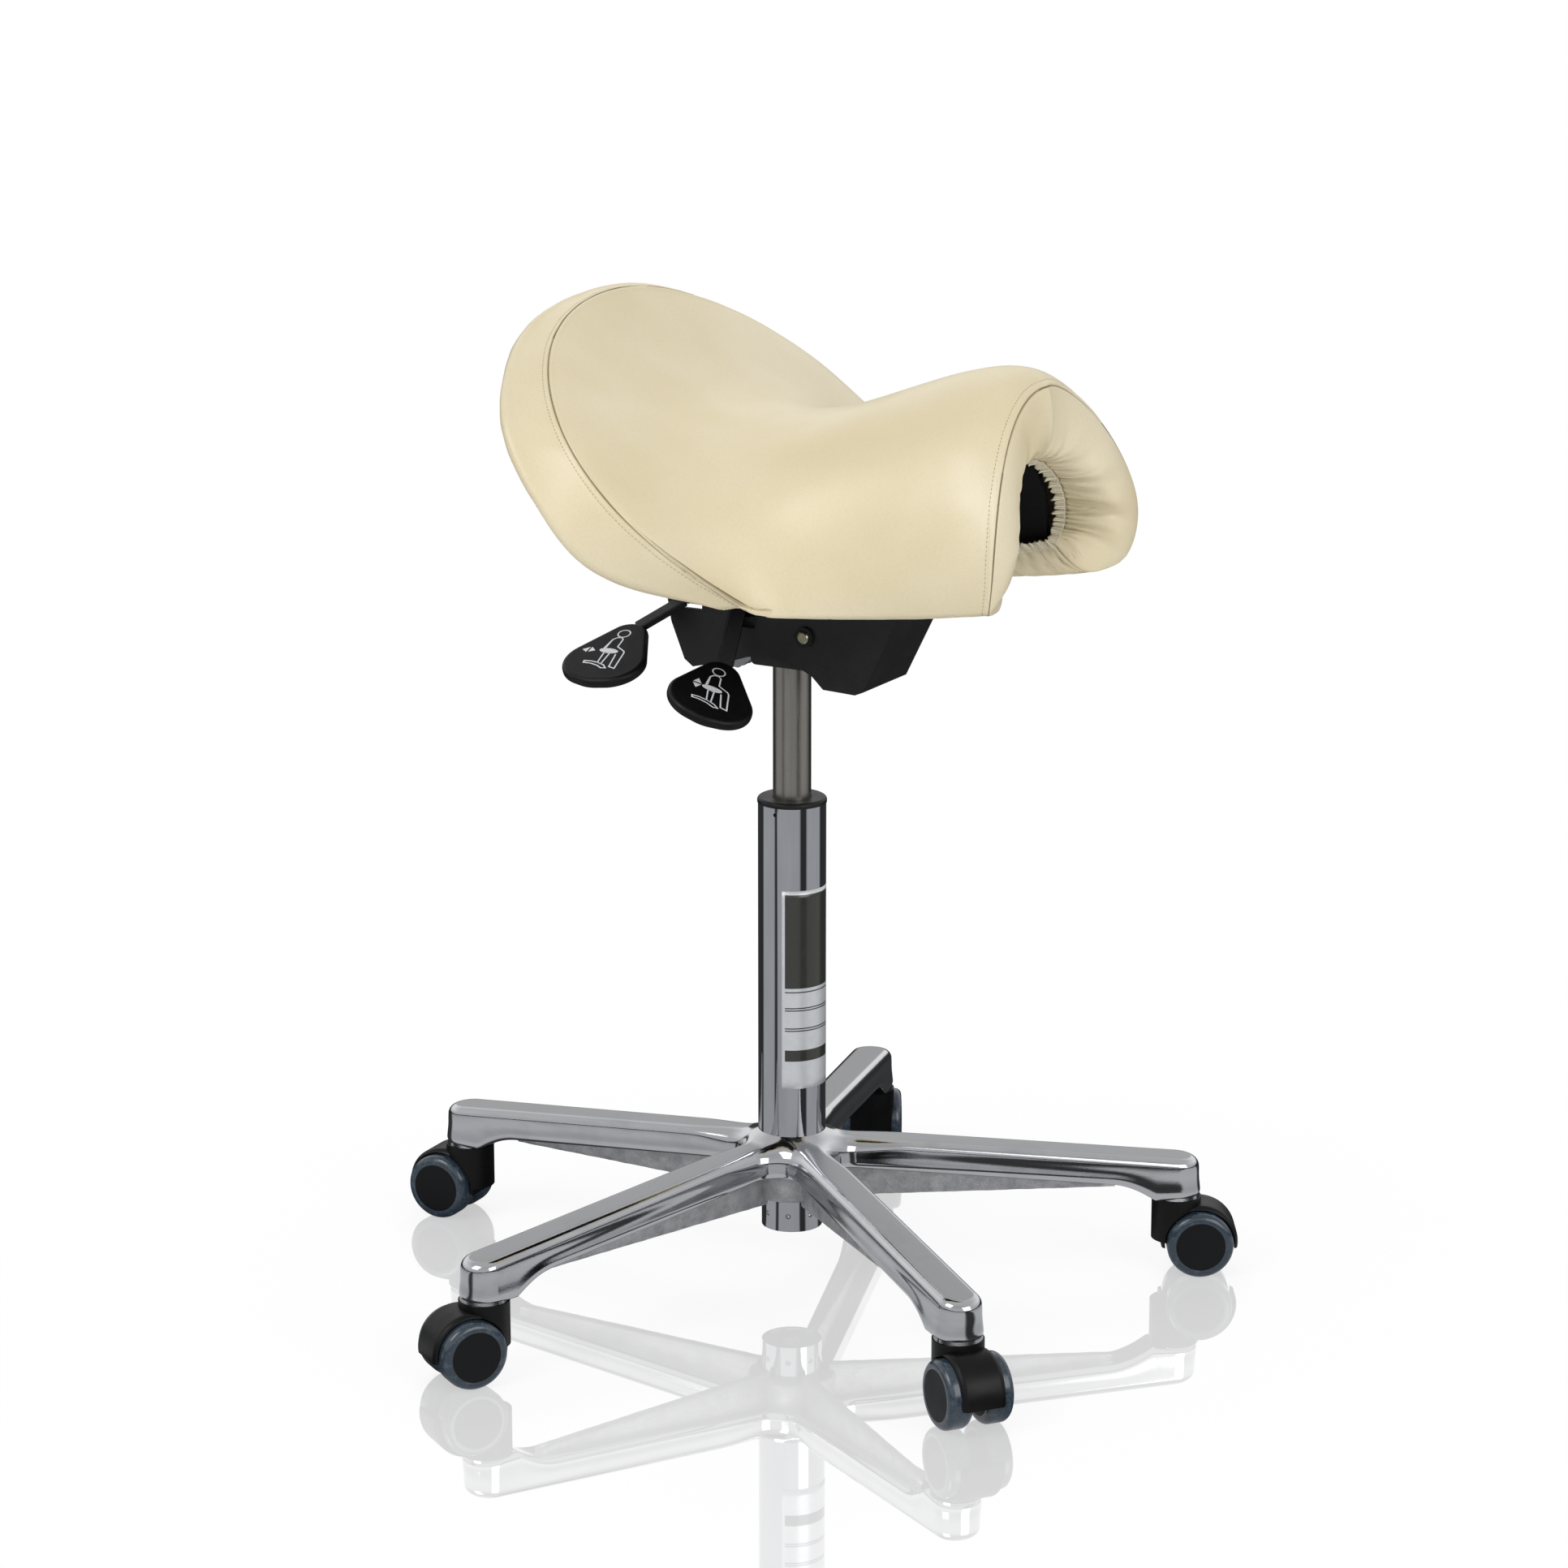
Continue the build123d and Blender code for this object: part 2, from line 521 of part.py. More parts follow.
def lever_eye(pin, pin_room):
    x_low, x_high = pin_room
    barrel = Rot(0, 90, 0) * Cylinder(4.8, x_high - x_low)
    return Pos((x_low + x_high) / 2, pin[1], pin[2]) * barrel


def paddle(neck, centre, facing):
    """Pick-shaped grip whose narrow end takes the bar."""
    along = Vector(*neck) - Vector(*centre)
    normal = Vector(*facing)
    across = along.cross(normal)
    plane = Plane(origin=centre, x_dir=across, z_dir=across.cross(along))
    rounds = [Pos(side * PADDLE_SPREAD, 0) * Circle(PADDLE_HEEL) for side in (-1, 1)]
    rounds += [Pos(0, -PADDLE_BELLY) * Circle(PADDLE_HEEL), Pos(0, PADDLE_LENGTH) * Circle(PADDLE_TOE)]
    outline = make_hull([edge for circle in rounds for edge in circle.edges()])
    grip = extrude(plane * outline, PADDLE_THICKNESS / 2, both=True)
    return fillet(grip.edges(), PADDLE_THICKNESS * 0.4)


lug_room = (HEIGHT_LUGS[0] + LUG + RUN_GAP, HEIGHT_LUGS[1] - RUN_GAP)
height_bar = lever_bar(HEIGHT_PIN, HEIGHT_BAR, HEIGHT_FACING, ((-12, 0), (2.5, 4)), lug_room)
height_paddle = paddle(HEIGHT_BAR[2], HEIGHT_PADDLE, HEIGHT_FACING)
write("height_lever_bar", height_bar - height_paddle)
write("height_lever_paddle", height_paddle)

tilt_room = (TILT_PIN[0] - 7 + RUN_GAP, TILT_PIN[0] + 7 - RUN_GAP)
tilt_bar = lever_bar(TILT_PIN, TILT_BAR, TILT_FACING, ((-66, 0), (-58, -12)), tilt_room)
tilt_paddle = paddle(TILT_BAR[2], TILT_PADDLE, TILT_FACING)
write("tilt_lever_bar", tilt_bar - tilt_paddle)
write("tilt_lever_paddle", tilt_paddle)


# ---------------------------------------------------------------- saddle
class Station:
    """Half outline of the saddle in one leaning plane, as a cubic curve."""

    def __init__(self, apex, foot, half_width, crown, flare, knee):
        self.apex, self.foot = Vector(apex[0], 0, apex[1]), Vector(foot[0], 0, foot[1])
        self.half_width, self.crown, self.flare = half_width, crown, flare
        rise = self.apex - self.foot
        self.height = rise.length
        self.knee = knee * self.height / rise.Z
        self.up = rise.normalized()

    def wire(self, inset=0.0, foot_in=0.0, shift=0.0):
        """Closed outline, drawn in all round and shifted along the plane's normal."""
        origin = self.foot + Vector(0, 1, 0).cross(self.up) * shift
        top = self.height - inset
        crown = self.crown - 0.6 * inset
        knee = (self.half_width + self.flare - inset, self.knee)
        foot = (self.half_width - inset, foot_in)

        def place(y, h):
            return origin + Vector(0, y, 0) + self.up * h

        left = Bezier(place(*foot), place(*knee), place(crown, top), place(0, top))
        right = Bezier(place(0, top), place(-crown, top), place(-knee[0], knee[1]), place(-foot[0], foot[1]))
        return Wire([left, right, Line(place(-foot[0], foot[1]), place(*foot))])


def between(values, u):
    """Smooth value at u along the saddle, 0 at the rear seam, through all given values."""
    total = 0.0
    for i, value in enumerate(values):
        others = [j for j in range(len(values)) if j != i]
        total += value * math.prod((u - j) / (i - j) for j in others)
    return total


SADDLE = (APEX_X, APEX_Z, FOOT_X, FOOT_Z, HALF_WIDTH, CROWN, FLARE, KNEE)
HOLLOW = (HOLLOW_APEX_X, HOLLOW_APEX_Z, HOLLOW_FOOT_X, (HOLLOW_FOOT_Z,) * 5,
          HOLLOW_HALF_WIDTH, HOLLOW_CROWN, HOLLOW_FLARE, HOLLOW_KNEE)


def stations(rows):
    """Sections along a saddle or its hollow, with extra ones between the given five."""
    sections = []
    for k in range(4 * SECTIONS_PER_STATION + 1):
        u = k / SECTIONS_PER_STATION
        apex_x, apex_z, foot_x, foot_z, *shape = [between(row, u) for row in rows]
        sections.append(Station((apex_x, apex_z), (foot_x, foot_z), *shape))
    return sections


def rear_stations(seam):
    """Back edge of the rear boxing, and its bulge half way to the rear seam."""
    ax, az, fx, fz = REAR_BACK
    size = (seam.half_width * REAR_SHRINK, seam.crown * REAR_SHRINK, seam.flare * REAR_SHRINK)
    back = Station((ax, az), (fx, fz), size[0], size[1], size[2], seam.knee * 0.8)
    middle = Station(((ax + seam.apex.X) / 2 - BOXING_BULGE, (az + seam.apex.Z) / 2 + BOXING_BULGE),
                     ((fx + seam.foot.X) / 2, (fz + seam.foot.Z) / 2 - 1),
                     seam.half_width, seam.crown, seam.flare, seam.knee * 0.95)
    return back, middle


SEAMS = stations(SADDLE)
BACK, BACK_MIDDLE = rear_stations(SEAMS[0])


def saddle_block(inset=0.0):
    """Solid saddle drawn in by a depth all round, with its underside flat across.

    The rear sections lie almost along the seat surface, so they also sink by that depth."""
    lift = HEM_TURN * inset
    wires = [BACK.wire(inset, lift, shift=inset), BACK_MIDDLE.wire(inset, lift)]
    for k, section in enumerate(SEAMS):
        sink = max(0, 1 - k / SECTIONS_PER_STATION / LEANING_STATIONS)
        wires.append(section.wire(inset, lift, shift=-inset * sink))
    wires.append(SEAMS[-1].wire(inset + FRONT_INSET, lift, shift=FRONT_NOSE - inset))
    return Solid.make_loft(wires, ruled=True)


def under_space(inset=0.0):
    return Solid.make_loft([section.wire(inset) for section in stations(HOLLOW)], ruled=True)


def slab(x_low, x_high):
    """Everything between two heights along X, wider and taller than the saddle."""
    return Pos((x_low + x_high) / 2, 0, HOLLOW_FOOT_Z + 150) * Box(x_high - x_low, 600, 400)


lined = saddle_block(COVER)
whole = saddle_block()
hollow = under_space()
cavity = under_space(SHELL)
foam = lined - hollow
cover = whole - hollow - lined
shell_front = APEX_X[-1] - SHELL_SETBACK
shell = (lined & hollow & slab(HOLLOW_APEX_X[0] - 99, shell_front)) - cavity
hem = (whole & hollow & slab(shell_front, APEX_X[-1] + 50)) - under_space(HEM)


def seat_board():
    """Timber board between the legs of the saddle, on which the mechanism is screwed."""
    length = BOARD_FRONT - BOARD_REAR
    middle = Pos((BOARD_FRONT + BOARD_REAR) / 2, 0, HOUSING_TOP + BOARD_THICKNESS / 2)
    board = middle * Box(length, 2 * BOARD_HALF_WIDTH, BOARD_THICKNESS) - whole
    board += (middle * Box(length, 4 * HOLLOW_HALF_WIDTH[0], BOARD_THICKNESS)) & cavity
    for x, y in screw_places():
        board -= rod(SCREW_DIAMETER, HOUSING_TOP - 1, HOUSING_TOP + BOARD_THICKNESS - 2, x, y)
    return board


write("seat_cover", cover)
write("seat_foam", foam)
write("seat_shell", shell)
write("cover_hem", hem)
write("seat_board", seat_board())


# ---------------------------------------------------------------- castors
def castor_hood():
    width = 2 * FENDER_HALF_WIDTH
    outside = WHEEL_DIAMETER / 2 + FENDER_GAP + FENDER
    dome = Rot(90, 0, 0) * Cylinder(outside, width)
    dome = Pos(TRAIL, 0, AXLE_HEIGHT) * dome
    dome = fillet(dome.edges(), DOME_ROUND)
    top = TIP_UNDERSIDE - RUN_GAP
    body = dome + rod(COLLAR_DIAMETER, AXLE_HEIGHT, top)
    body -= Pos(TRAIL, 0, 0) * Box(4 * outside, 2 * width, 2 * HOOD_UNDERSIDE)
    room = WHEEL_DIAMETER / 2 + FENDER_GAP
    for side in (-1, 1):
        space = Rot(90, 0, 0) * Cylinder(room, COLLAR_DIAMETER)
        body -= Pos(TRAIL, side * (CENTRE_WEB / 2 + COLLAR_DIAMETER / 2), AXLE_HEIGHT) * space
    body += cross_rod(2 * HUB_RADIUS, -CENTRE_WEB / 2, CENTRE_WEB / 2, TRAIL, AXLE_HEIGHT)
    body -= rod(STEM_DIAMETER, top - COLLAR_HEIGHT, top + 1)
    return body - castor_axle()


def castor_stem():
    return rod(STEM_DIAMETER, TIP_UNDERSIDE - RUN_GAP - COLLAR_HEIGHT, TIP_UNDERSIDE + SOCKET_DEPTH - 2)


def castor_axle():
    half = CENTRE_WEB / 2 + WHEEL_SIDE_GAP + WHEEL_WIDTH - 3
    return cross_rod(AXLE_DIAMETER, -half, half, TRAIL, AXLE_HEIGHT)


def castor_wheel(side):
    """Hard core with a blind bore, and the soft tread ring round it."""
    inner = CENTRE_WEB / 2 + WHEEL_SIDE_GAP
    outer = inner + WHEEL_WIDTH
    core_diameter = WHEEL_DIAMETER - 2 * TREAD
    core = cross_rod(core_diameter, inner, outer, TRAIL, AXLE_HEIGHT)
    core -= cross_rod(AXLE_DIAMETER + 2 * RUN_GAP, inner - 1, outer - 3 + RUN_GAP, TRAIL, AXLE_HEIGHT)
    tread = cross_rod(WHEEL_DIAMETER, inner, outer, TRAIL, AXLE_HEIGHT)
    tread = fillet(tread.edges(), TREAD_ROUND)
    tread -= cross_rod(core_diameter, inner - 1, outer + 1, TRAIL, AXLE_HEIGHT)
    pieces = (core, tread)
    return pieces if side > 0 else tuple(mirror(piece, Plane.XZ) for piece in pieces)


hood = castor_hood()
for k, heading in enumerate(CASTOR_HEADINGS):
    arm = math.radians(FIRST_ARM + k * ARM_STEP)
    place = Pos(CASTOR_CIRCLE * math.cos(arm), CASTOR_CIRCLE * math.sin(arm), 0) * Rot(0, 0, heading)
    name = f"castor_{k + 1}"
    write(f"{name}_hood", place * hood)
    write(f"{name}_pins", place * castor_stem(), place * castor_axle())
    for letter, side in (("a", 1), ("b", -1)):
        core, tread = castor_wheel(side)
        write(f"{name}_wheel_{letter}_core", place * core)
        write(f"{name}_wheel_{letter}_tread", place * tread)
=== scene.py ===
"""Looks of a saddle stool for a dental surgery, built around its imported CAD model.

Each operator makes one piece, or gives one group of parts its finish. Lengths in the
tables are millimetres in the model's frame: +X the way the sitter faces, +Z up.
"""
import functools
import math
import random

import bmesh
import bpy
from bpy.props import FloatProperty, FloatVectorProperty, PointerProperty
from mathutils import Matrix, Vector, noise


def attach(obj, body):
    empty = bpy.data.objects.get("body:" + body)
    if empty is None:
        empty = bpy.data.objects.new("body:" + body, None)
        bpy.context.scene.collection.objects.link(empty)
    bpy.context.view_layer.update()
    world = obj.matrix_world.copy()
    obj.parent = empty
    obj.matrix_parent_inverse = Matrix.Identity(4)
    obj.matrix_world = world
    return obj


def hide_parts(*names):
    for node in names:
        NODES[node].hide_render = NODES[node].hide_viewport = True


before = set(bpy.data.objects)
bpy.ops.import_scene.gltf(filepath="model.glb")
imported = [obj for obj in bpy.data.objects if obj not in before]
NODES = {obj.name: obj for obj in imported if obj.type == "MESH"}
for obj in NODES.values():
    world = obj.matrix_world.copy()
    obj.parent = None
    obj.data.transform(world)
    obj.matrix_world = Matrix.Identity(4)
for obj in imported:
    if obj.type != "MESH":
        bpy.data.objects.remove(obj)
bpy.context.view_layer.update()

bl_info = {
    "name": "Saddle stool",
    "version": (1, 0, 0),
    "blender": (4, 5, 0),
    "location": "View3D > Sidebar > Stool",
    "description": "Upholstery, metal and plastic finishes of a saddle stool",
    "category": "Object",
}

MM = 0.001

# ------------------------------------------------------------------ saddle sizes
# five stations from the rear seam to the front seam
APEX_X = (-151, -78, 16, 120, 204)
APEX_Z = (735, 674, 661, 693, 695)
FOOT_X = (60, 62, 80, 128, 212)
FOOT_Z = (546, 539, 536, 539, 551)
HALF_WIDTH = (151, 137, 113, 98.5, 103)
CROWN = (143, 124, 102, 94, 61)
FLARE = (104, 70, 34, 29, 38)
KNEE = (88, 64, 50, 48, 49)
APEX_LEAN = (-4, 14, 6, 6, -12)
KNEE_SWEEP = (-22, 6, 6, 12, 29)
INNER_HALF = (74.5, 70.5, 65.5, 59, 57)     # inner face of the legs
INNER_SWEEP = (-4, 0, 0, -5, -28)         # how far the hem trails the foot
STATIONS = (APEX_X, APEX_Z, FOOT_X, FOOT_Z, HALF_WIDTH, CROWN, FLARE, KNEE,
            APEX_LEAN, KNEE_SWEEP, INNER_HALF, INNER_SWEEP)
FOOT_SHARE = 0.965        # share of the side curve before it rolls under the leg
WRAP = 0.34               # columns under a leg, as a share of those on its side
HEM_RISE = 20.0           # cover turned up inside a leg
TURN_UNDER = 28.0         # cover turned under the cantle
# rear boxing at shares of the way from the crown to a foot: its fullest line, then the
# crease where it turns under
BOXING_KNOTS = (0.0, 0.25, 0.5, 0.7, 0.85, 1.0)
BOXING_FULL = ((-169, 0, 732), (-162, 103, 717), (-126, 186, 667), (-78, 204, 605),
               (-42, 188, 569), (30, 158, 549))
BOXING_CREASE = ((-201, 0, 705), (-182, 91, 690), (-131, 160, 637), (-74, 172, 588),
                 (-36, 160, 557), (34, 149, 547))
TUNNEL_REAR = ((-114, 0, 634), (-114, 60, 634), (-75, 115, 606), (14, 92, 549))
FRONT_HEM = ((180, 0, 641), (181, 48, 641), (185, 72, 606), (184, 64, 583))
FRONT_BULGE = (6.0, -1.0)

# rows and columns of the cover's grid; the rows stand closest together beside a seam
SEAM_STEPS = (0.0, 0.35, 0.7, 1.1, 1.6, 2.4, 3.5, 5.0, 6.2, 8.5, 12.0)   # distances from it
REAR_ROWS, TOP_ROWS, FRONT_ROWS = 30, 92, 30
COLUMNS = 345
ON_TOP = (REAR_ROWS + TOP_ROWS // 2) * COLUMNS + COLUMNS // 2   # a vertex on the saddle's ridge
REAR_STITCH, FRONT_STITCH = 3.5, 6.2      # distances of the stitches from their seams
REAR_STITCH_ROW = REAR_ROWS - 1 - SEAM_STEPS.index(REAR_STITCH)
FRONT_STITCH_ROW = REAR_ROWS + TOP_ROWS - 2 - SEAM_STEPS.index(FRONT_STITCH)
SEAM_DEPTH, SEAM_REACH = 1.5, 14.0        # depth of a seam, and how far from it the hide shows it

# gathers: millimetres to one unit of the coordinate along each edge, the depth of the field
# inside a leg, and how much faster the rear's fine creases fade than the front's
EDGE_LENGTH = {"front": 105, "rear": 190, "top": 48}
LEG_FIELD = 62.0
CREASE_PACE = {"front": 1.0, "rear": 3.0}

BINDING_REACH = 5.0       # gathered elastic beyond the cover's edge
BINDING_OVERLAP = 2.5
BINDING_STEP, BINDING_ROWS = 1.3, 9       # step along the edge, rows across it
BINDING_WAVES = ((7.3, 1.0, 0.0), (4.7, 0.55, 1.9), (11.9, 0.6, 4.1))   # length, height, turn
BINDING_THICKNESS = 1.5
LINING_SAG = 9.0
LINING_ROWS, LINING_COLUMNS = 13, 97
LINING_THICKNESS = 0.6

# ------------------------------------------------------------------ star base
ARM_COUNT = 5
FIRST_ARM = math.radians(35)
ARM_STEP = 2 * math.pi / ARM_COUNT
CASTOR_CIRCLE = 290.0
ARM_HALF = 14.5
ARM_DEPTH = 23.0
HUB_HEIGHT = 119.0
SLOPE = 0.1                               # fall of an arm's top face
SIDE_SLOPE = math.tan(math.radians(3))
WEB_RADIUS = 20.0                         # hollow curve between two arms
ARM_SHOULDER, WEB_SHOULDER = 7.0, 12.5    # rounding of the upper edge
ARM_ROLL = 5.0                            # rounding of the lower edge
SIDE_HOLLOW = 0.3
TIP_UNDERSIDE = 58.3
TIP_IN, RISE_END = 272.0, 238.0           # flat under the socket, then a curve up to the arm
SOCKET_RADIUS, SOCKET_TOP = 5.8, 84.3
NECK_HEIGHT, NECK_REACH = 4.5, 17.0       # hollow curve from the column out on to the hub
HUB_BLOCK = (33.0, 72.0, 107.0)           # radius, underside, top
HUB_BORE = 22.8
BOSS_RADII, BOSS_HEIGHT = (17.5, 16.0), 6.0   # ring round a castor socket, below and above
RIB_HALF, RIB_SLOPE, RIB_UNDERSIDE = 9.0, math.tan(math.radians(5)), 67.0
RIB_START, RIB_END = 28.0, 244.0
RIB_GRAIN, HUB_GRAIN = 0.28, 0.22         # how far the cast skin wanders
CREASE_ANGLE = math.radians(38)           # an edge sharper than this isn't shaded smooth

# ------------------------------------------------------------------ label and paddles
COLUMN_RADIUS = 25.0
LABEL_BOTTOM, LABEL_TOP = 158.5, 309.5
LABEL_HEADINGS = (-78.0, 25.0)            # degrees about the column
LABEL_ROWS, LABEL_COLUMNS = 25, 49
LABEL_GAP, LABEL_THICKNESS = 0.12, 0.1    # outer face off the column
# print on the label, as shares of its width and height
LABEL_MARGINS, LABEL_FIELD = (0.055, 0.945), (0.51, 0.98)
LABEL_RULES = ((0.14, 0.195), (0.292, 0.296), (0.304, 0.308), (0.395, 0.399), (0.407, 0.411),
               (0.488, 0.492))
PADDLE_THICKNESS = 8.0
INK_GAP = 0.04
# centre, neck and facing of each paddle
HEIGHT_PADDLE = ((-9, -102, 465.5), (-24, -55, 481), (0.42, -0.16, 0.89))
TILT_PADDLE = ((-97.5, -100, 482.5), (-98, -54, 500), (0.02, -0.35, 0.94))
# sign on a paddle, millimetres across and along it: a sitter's outline on a saddle stool
SITTER = ((-6.8, 13.5), (-6.4, 25.6), (-4.4, 28.4), (-0.8, 29.2), (1.2, 27.2), (2.0, 17.6),
          (9.4, 13.4), (10.6, 11.2), (13.4, -8.6), (8.4, -7.4), (5.4, 8.4))
HEAD = (-1.9, 34.4, 4.6)                  # centre and radius
SADDLE_SIGN = (-2.0, 11.4, 7.6, 3.1)      # centre and half sizes of the filled seat
STEM_SIGN = ((-4.4, 8.8), (-2.8, -4.4), (0.6, -5.2), (0.2, 8.4))
FOOT_SIGN = ((-13.6, -4.4), (-8.2, -3.6), (-2.6, -4.4), (3.2, -6.2), (6.8, -9.6), (3.2, -10.2),
             (-1.2, -7.8), (-7.6, -6.4), (-13.0, -6.8))
UP_AND_DOWN = (((-16.6, 13.0), (-10.2, 13.0), (-13.4, 18.4)),
               ((-16.6, 11.6), (-13.4, 6.2), (-10.2, 11.6)))
ROCKING = (((-22.6, 8.8), (-17.8, 12.8), (-18.2, 6.2)),
           ((-16.6, 13.2), (-12.2, 9.6), (-16.8, 6.6)))

# ------------------------------------------------------------------ stage
FLOOR_HALF = 20.0                         # metres
# name, the setting with its power, size, place, height of its aim, whether metal mirrors it
LAMPS = (("key", "key", 1.6, (-0.9, -2.2, 2.6), 0.5, True),
         ("fill", "fill", 1.8, (2.6, -0.9, 1.4), 0.4, True),
         ("rim", "fill", 1.2, (-1.2, 2.0, 2.2), 0.5, False))
DARK_FLAGS = ((-115, 5), (-22, 11), (80, 34), (150, 38))   # heading and half width, degrees
FLAG_EDGE = 3                             # degrees over which a flag fades, each way
SENSOR, LENS = 36.0, 109.89               # millimetres
CAMERA_SIDESTEP = 0.0059                  # metres to the left of the column


def linear(colour):
    """Linear light for an sRGB colour written as hex digits."""
    parts = [int(colour[k:k + 2], 16) / 255 for k in (0, 2, 4)]
    return [p / 12.92 if p <= 0.04045 else ((p + 0.055) / 1.055) ** 2.4 for p in parts] + [1.0]


def hue(colour):
    """The same for a colour property, which holds no alpha."""
    return linear(colour)[:3]


def smooth(low, high, x):
    """0 below low, 1 above high, and a smooth rise between them."""
    t = min(max((x - low) / (high - low), 0.0), 1.0)
    return t * t * (3 - 2 * t)


# ------------------------------------------------------------------ materials
def add(tree, kind, *inputs, **settings):
    """One node with its settings; its outputs come back.

    Inputs stand in the node's own order, or in one dict by name or number. One that is given
    a socket is linked, any other is set."""
    node = tree.nodes.new("ShaderNode" + kind)
    for name, value in settings.items():
        setattr(node, name, value)
    named = inputs[0] if inputs and isinstance(inputs[0], dict) else dict(enumerate(inputs))
    for name, value in named.items():
        if isinstance(value, bpy.types.NodeSocket):
            tree.links.new(value, node.inputs[name])
        else:
            node.inputs[name].default_value = value
    return node.outputs


def start(name):
    """An empty node material and the object coordinates in metres."""
    material = bpy.data.materials.new(name)
    material.use_nodes = True
    tree = material.node_tree
    tree.nodes.clear()
    return material, tree, add(tree, "TexCoord")["Object"]


def close(tree, height=None, distance=0.0001, strength=1.0, **surface):
    """The principled shader, with a bump where a height is given, and the output."""
    inputs = {name.replace("_", " "): value for name, value in surface.items()}
    if height is not None:
        bump = add(tree, "Bump", {"Height": height, "Distance": distance, "Strength": strength})
        inputs["Normal"] = bump["Normal"]
    shader = add(tree, "BsdfPrincipled", inputs)
    add(tree, "OutputMaterial", {"Surface": shader["BSDF"]})


def cream_leatherette(colours):
    """Polyurethane leatherette over foam: embossed pebble grain, a soft satin shine, with painted
    shade in the grain's hollows, in the troughs of the gathers and along the fine creases.
    """
    material, tree, place = start("Cream_leatherette")
    broad = add(tree, "TexNoise", {"Vector": place, "Scale": 1 / (110 * MM), "Detail": 2})["Fac"]
    broad = add(tree, "MapRange", broad, 0.35, 0.65)[0]
    hide = add(tree, "Mix", {0: broad, 6: [*colours.cover, 1], 7: [*colours.cover_shade, 1]},
               data_type="RGBA")[2]
    # grain cells are 0.8 mm on the real hide and 1.3 mm here, so that they show
    cells = add(tree, "TexVoronoi", {"Vector": place, "Scale": 1 / (1.3 * MM)},
                feature="SMOOTH_F1")["Distance"]
    # painted shade: the hollows between the grain's cells are darkened a little
    valley_shade = add(tree, "MapRange", cells, 0.35, 0.75)[0]
    valley_shade = add(tree, "Math", valley_shade, 0.1, operation="MULTIPLY")[0]
    hide = add(tree, "Mix", {0: valley_shade, 6: hide, 7: linear("B9A77C")}, data_type="RGBA")[2]
    seam, fold, around, away = (add(tree, "Attribute", attribute_name=name)["Fac"]
                                for name in ("seam", "fold", "around", "away"))
    hide = add(tree, "Mix", {0: seam, 6: hide, 7: linear("6F6143")}, data_type="RGBA")[2]
    # painted shade in the troughs of the gathers
    fold = add(tree, "Math", fold, 0.4, operation="MULTIPLY")[0]
    hide = add(tree, "Mix", {0: fold, 6: hide, 7: linear("A08F68")}, data_type="RGBA")[2]
    # fine creases that run away from the gathered edge, closest together at the edge itself;
    # besides their bump, the material darkens them as painted shade
    packed = add(tree, "Math", around, 0.3, operation="MULTIPLY")[0]
    drawn = add(tree, "Math", away, 0.034, operation="MULTIPLY")[0]
    lines = add(tree, "CombineXYZ", packed, drawn)[0]
    wander = add(tree, "TexNoise",
                 {"Vector": lines, "Scale": 1.0, "Detail": 2.5, "Distortion": 0.5})["Fac"]
    ridge = add(tree, "Math", wander, 0.5, operation="SUBTRACT")[0]
    ridge = add(tree, "Math", ridge, operation="ABSOLUTE")[0]
    crease = add(tree, "MapRange", ridge, 0.0, 0.024, 1.0, 0.0)[0]
    patches = add(tree, "TexNoise", {"Vector": lines, "Scale": 0.22, "Detail": 1.0})["Fac"]
    patches = add(tree, "MapRange", patches, 0.38, 0.6)[0]
    near = add(tree, "MapRange", away, 2.0, 27.0, 1.0, 0.0)[0]
    mask = add(tree, "Math", near, patches, operation="MULTIPLY")[0]
    crease = add(tree, "Math", crease, mask, operation="MULTIPLY")[0]
    # painted shade along the creases
    dark = add(tree, "Math", crease, 0.6, operation="MULTIPLY")[0]
    hide = add(tree, "Mix", {0: dark, 6: hide, 7: linear("7E6E4B")}, data_type="RGBA")[2]
    fine = add(tree, "TexNoise", {"Vector": place, "Scale": 1 / (0.7 * MM), "Detail": 2})["Fac"]
    fine = add(tree, "Math", fine, 0.4, operation="MULTIPLY")[0]
    height = add(tree, "Math", fine, cells, operation="SUBTRACT")[0]
    deep = add(tree, "Math", crease, 6.0, operation="MULTIPLY")[0]
    height = add(tree, "Math", height, deep, operation="SUBTRACT")[0]
    sheen = add(tree, "TexNoise", {"Vector": place, "Scale": 1 / (30 * MM), "Detail": 4})["Fac"]
    rough = add(tree, "MapRange", sheen, 0.3, 0.7, 0.36, 0.46)[0]
    close(tree, height, 0.00012, 0.55, Base_Color=hide, Roughness=rough, Specular_IOR_Level=0.45,
          Coat_Weight=0.10, Coat_Roughness=0.28)
    return material


def sewing_thread(colours):
    """Spun polyester thread: matt, twisted, a shade darker than the hide."""
    material, tree, place = start("Polyester_thread")
    # the thread turns once in 0.35 mm
    twist = add(tree, "TexWave", {"Vector": place, "Scale": 900.0, "Distortion": 2.0})["Fac"]
    colour = add(tree, "Mix", {0: twist, 6: [*colours.thread, 1], 7: linear("C9BC95")},
                 data_type="RGBA")[2]
    close(tree, twist, 0.00008, Base_Color=colour, Roughness=0.72)
    return material


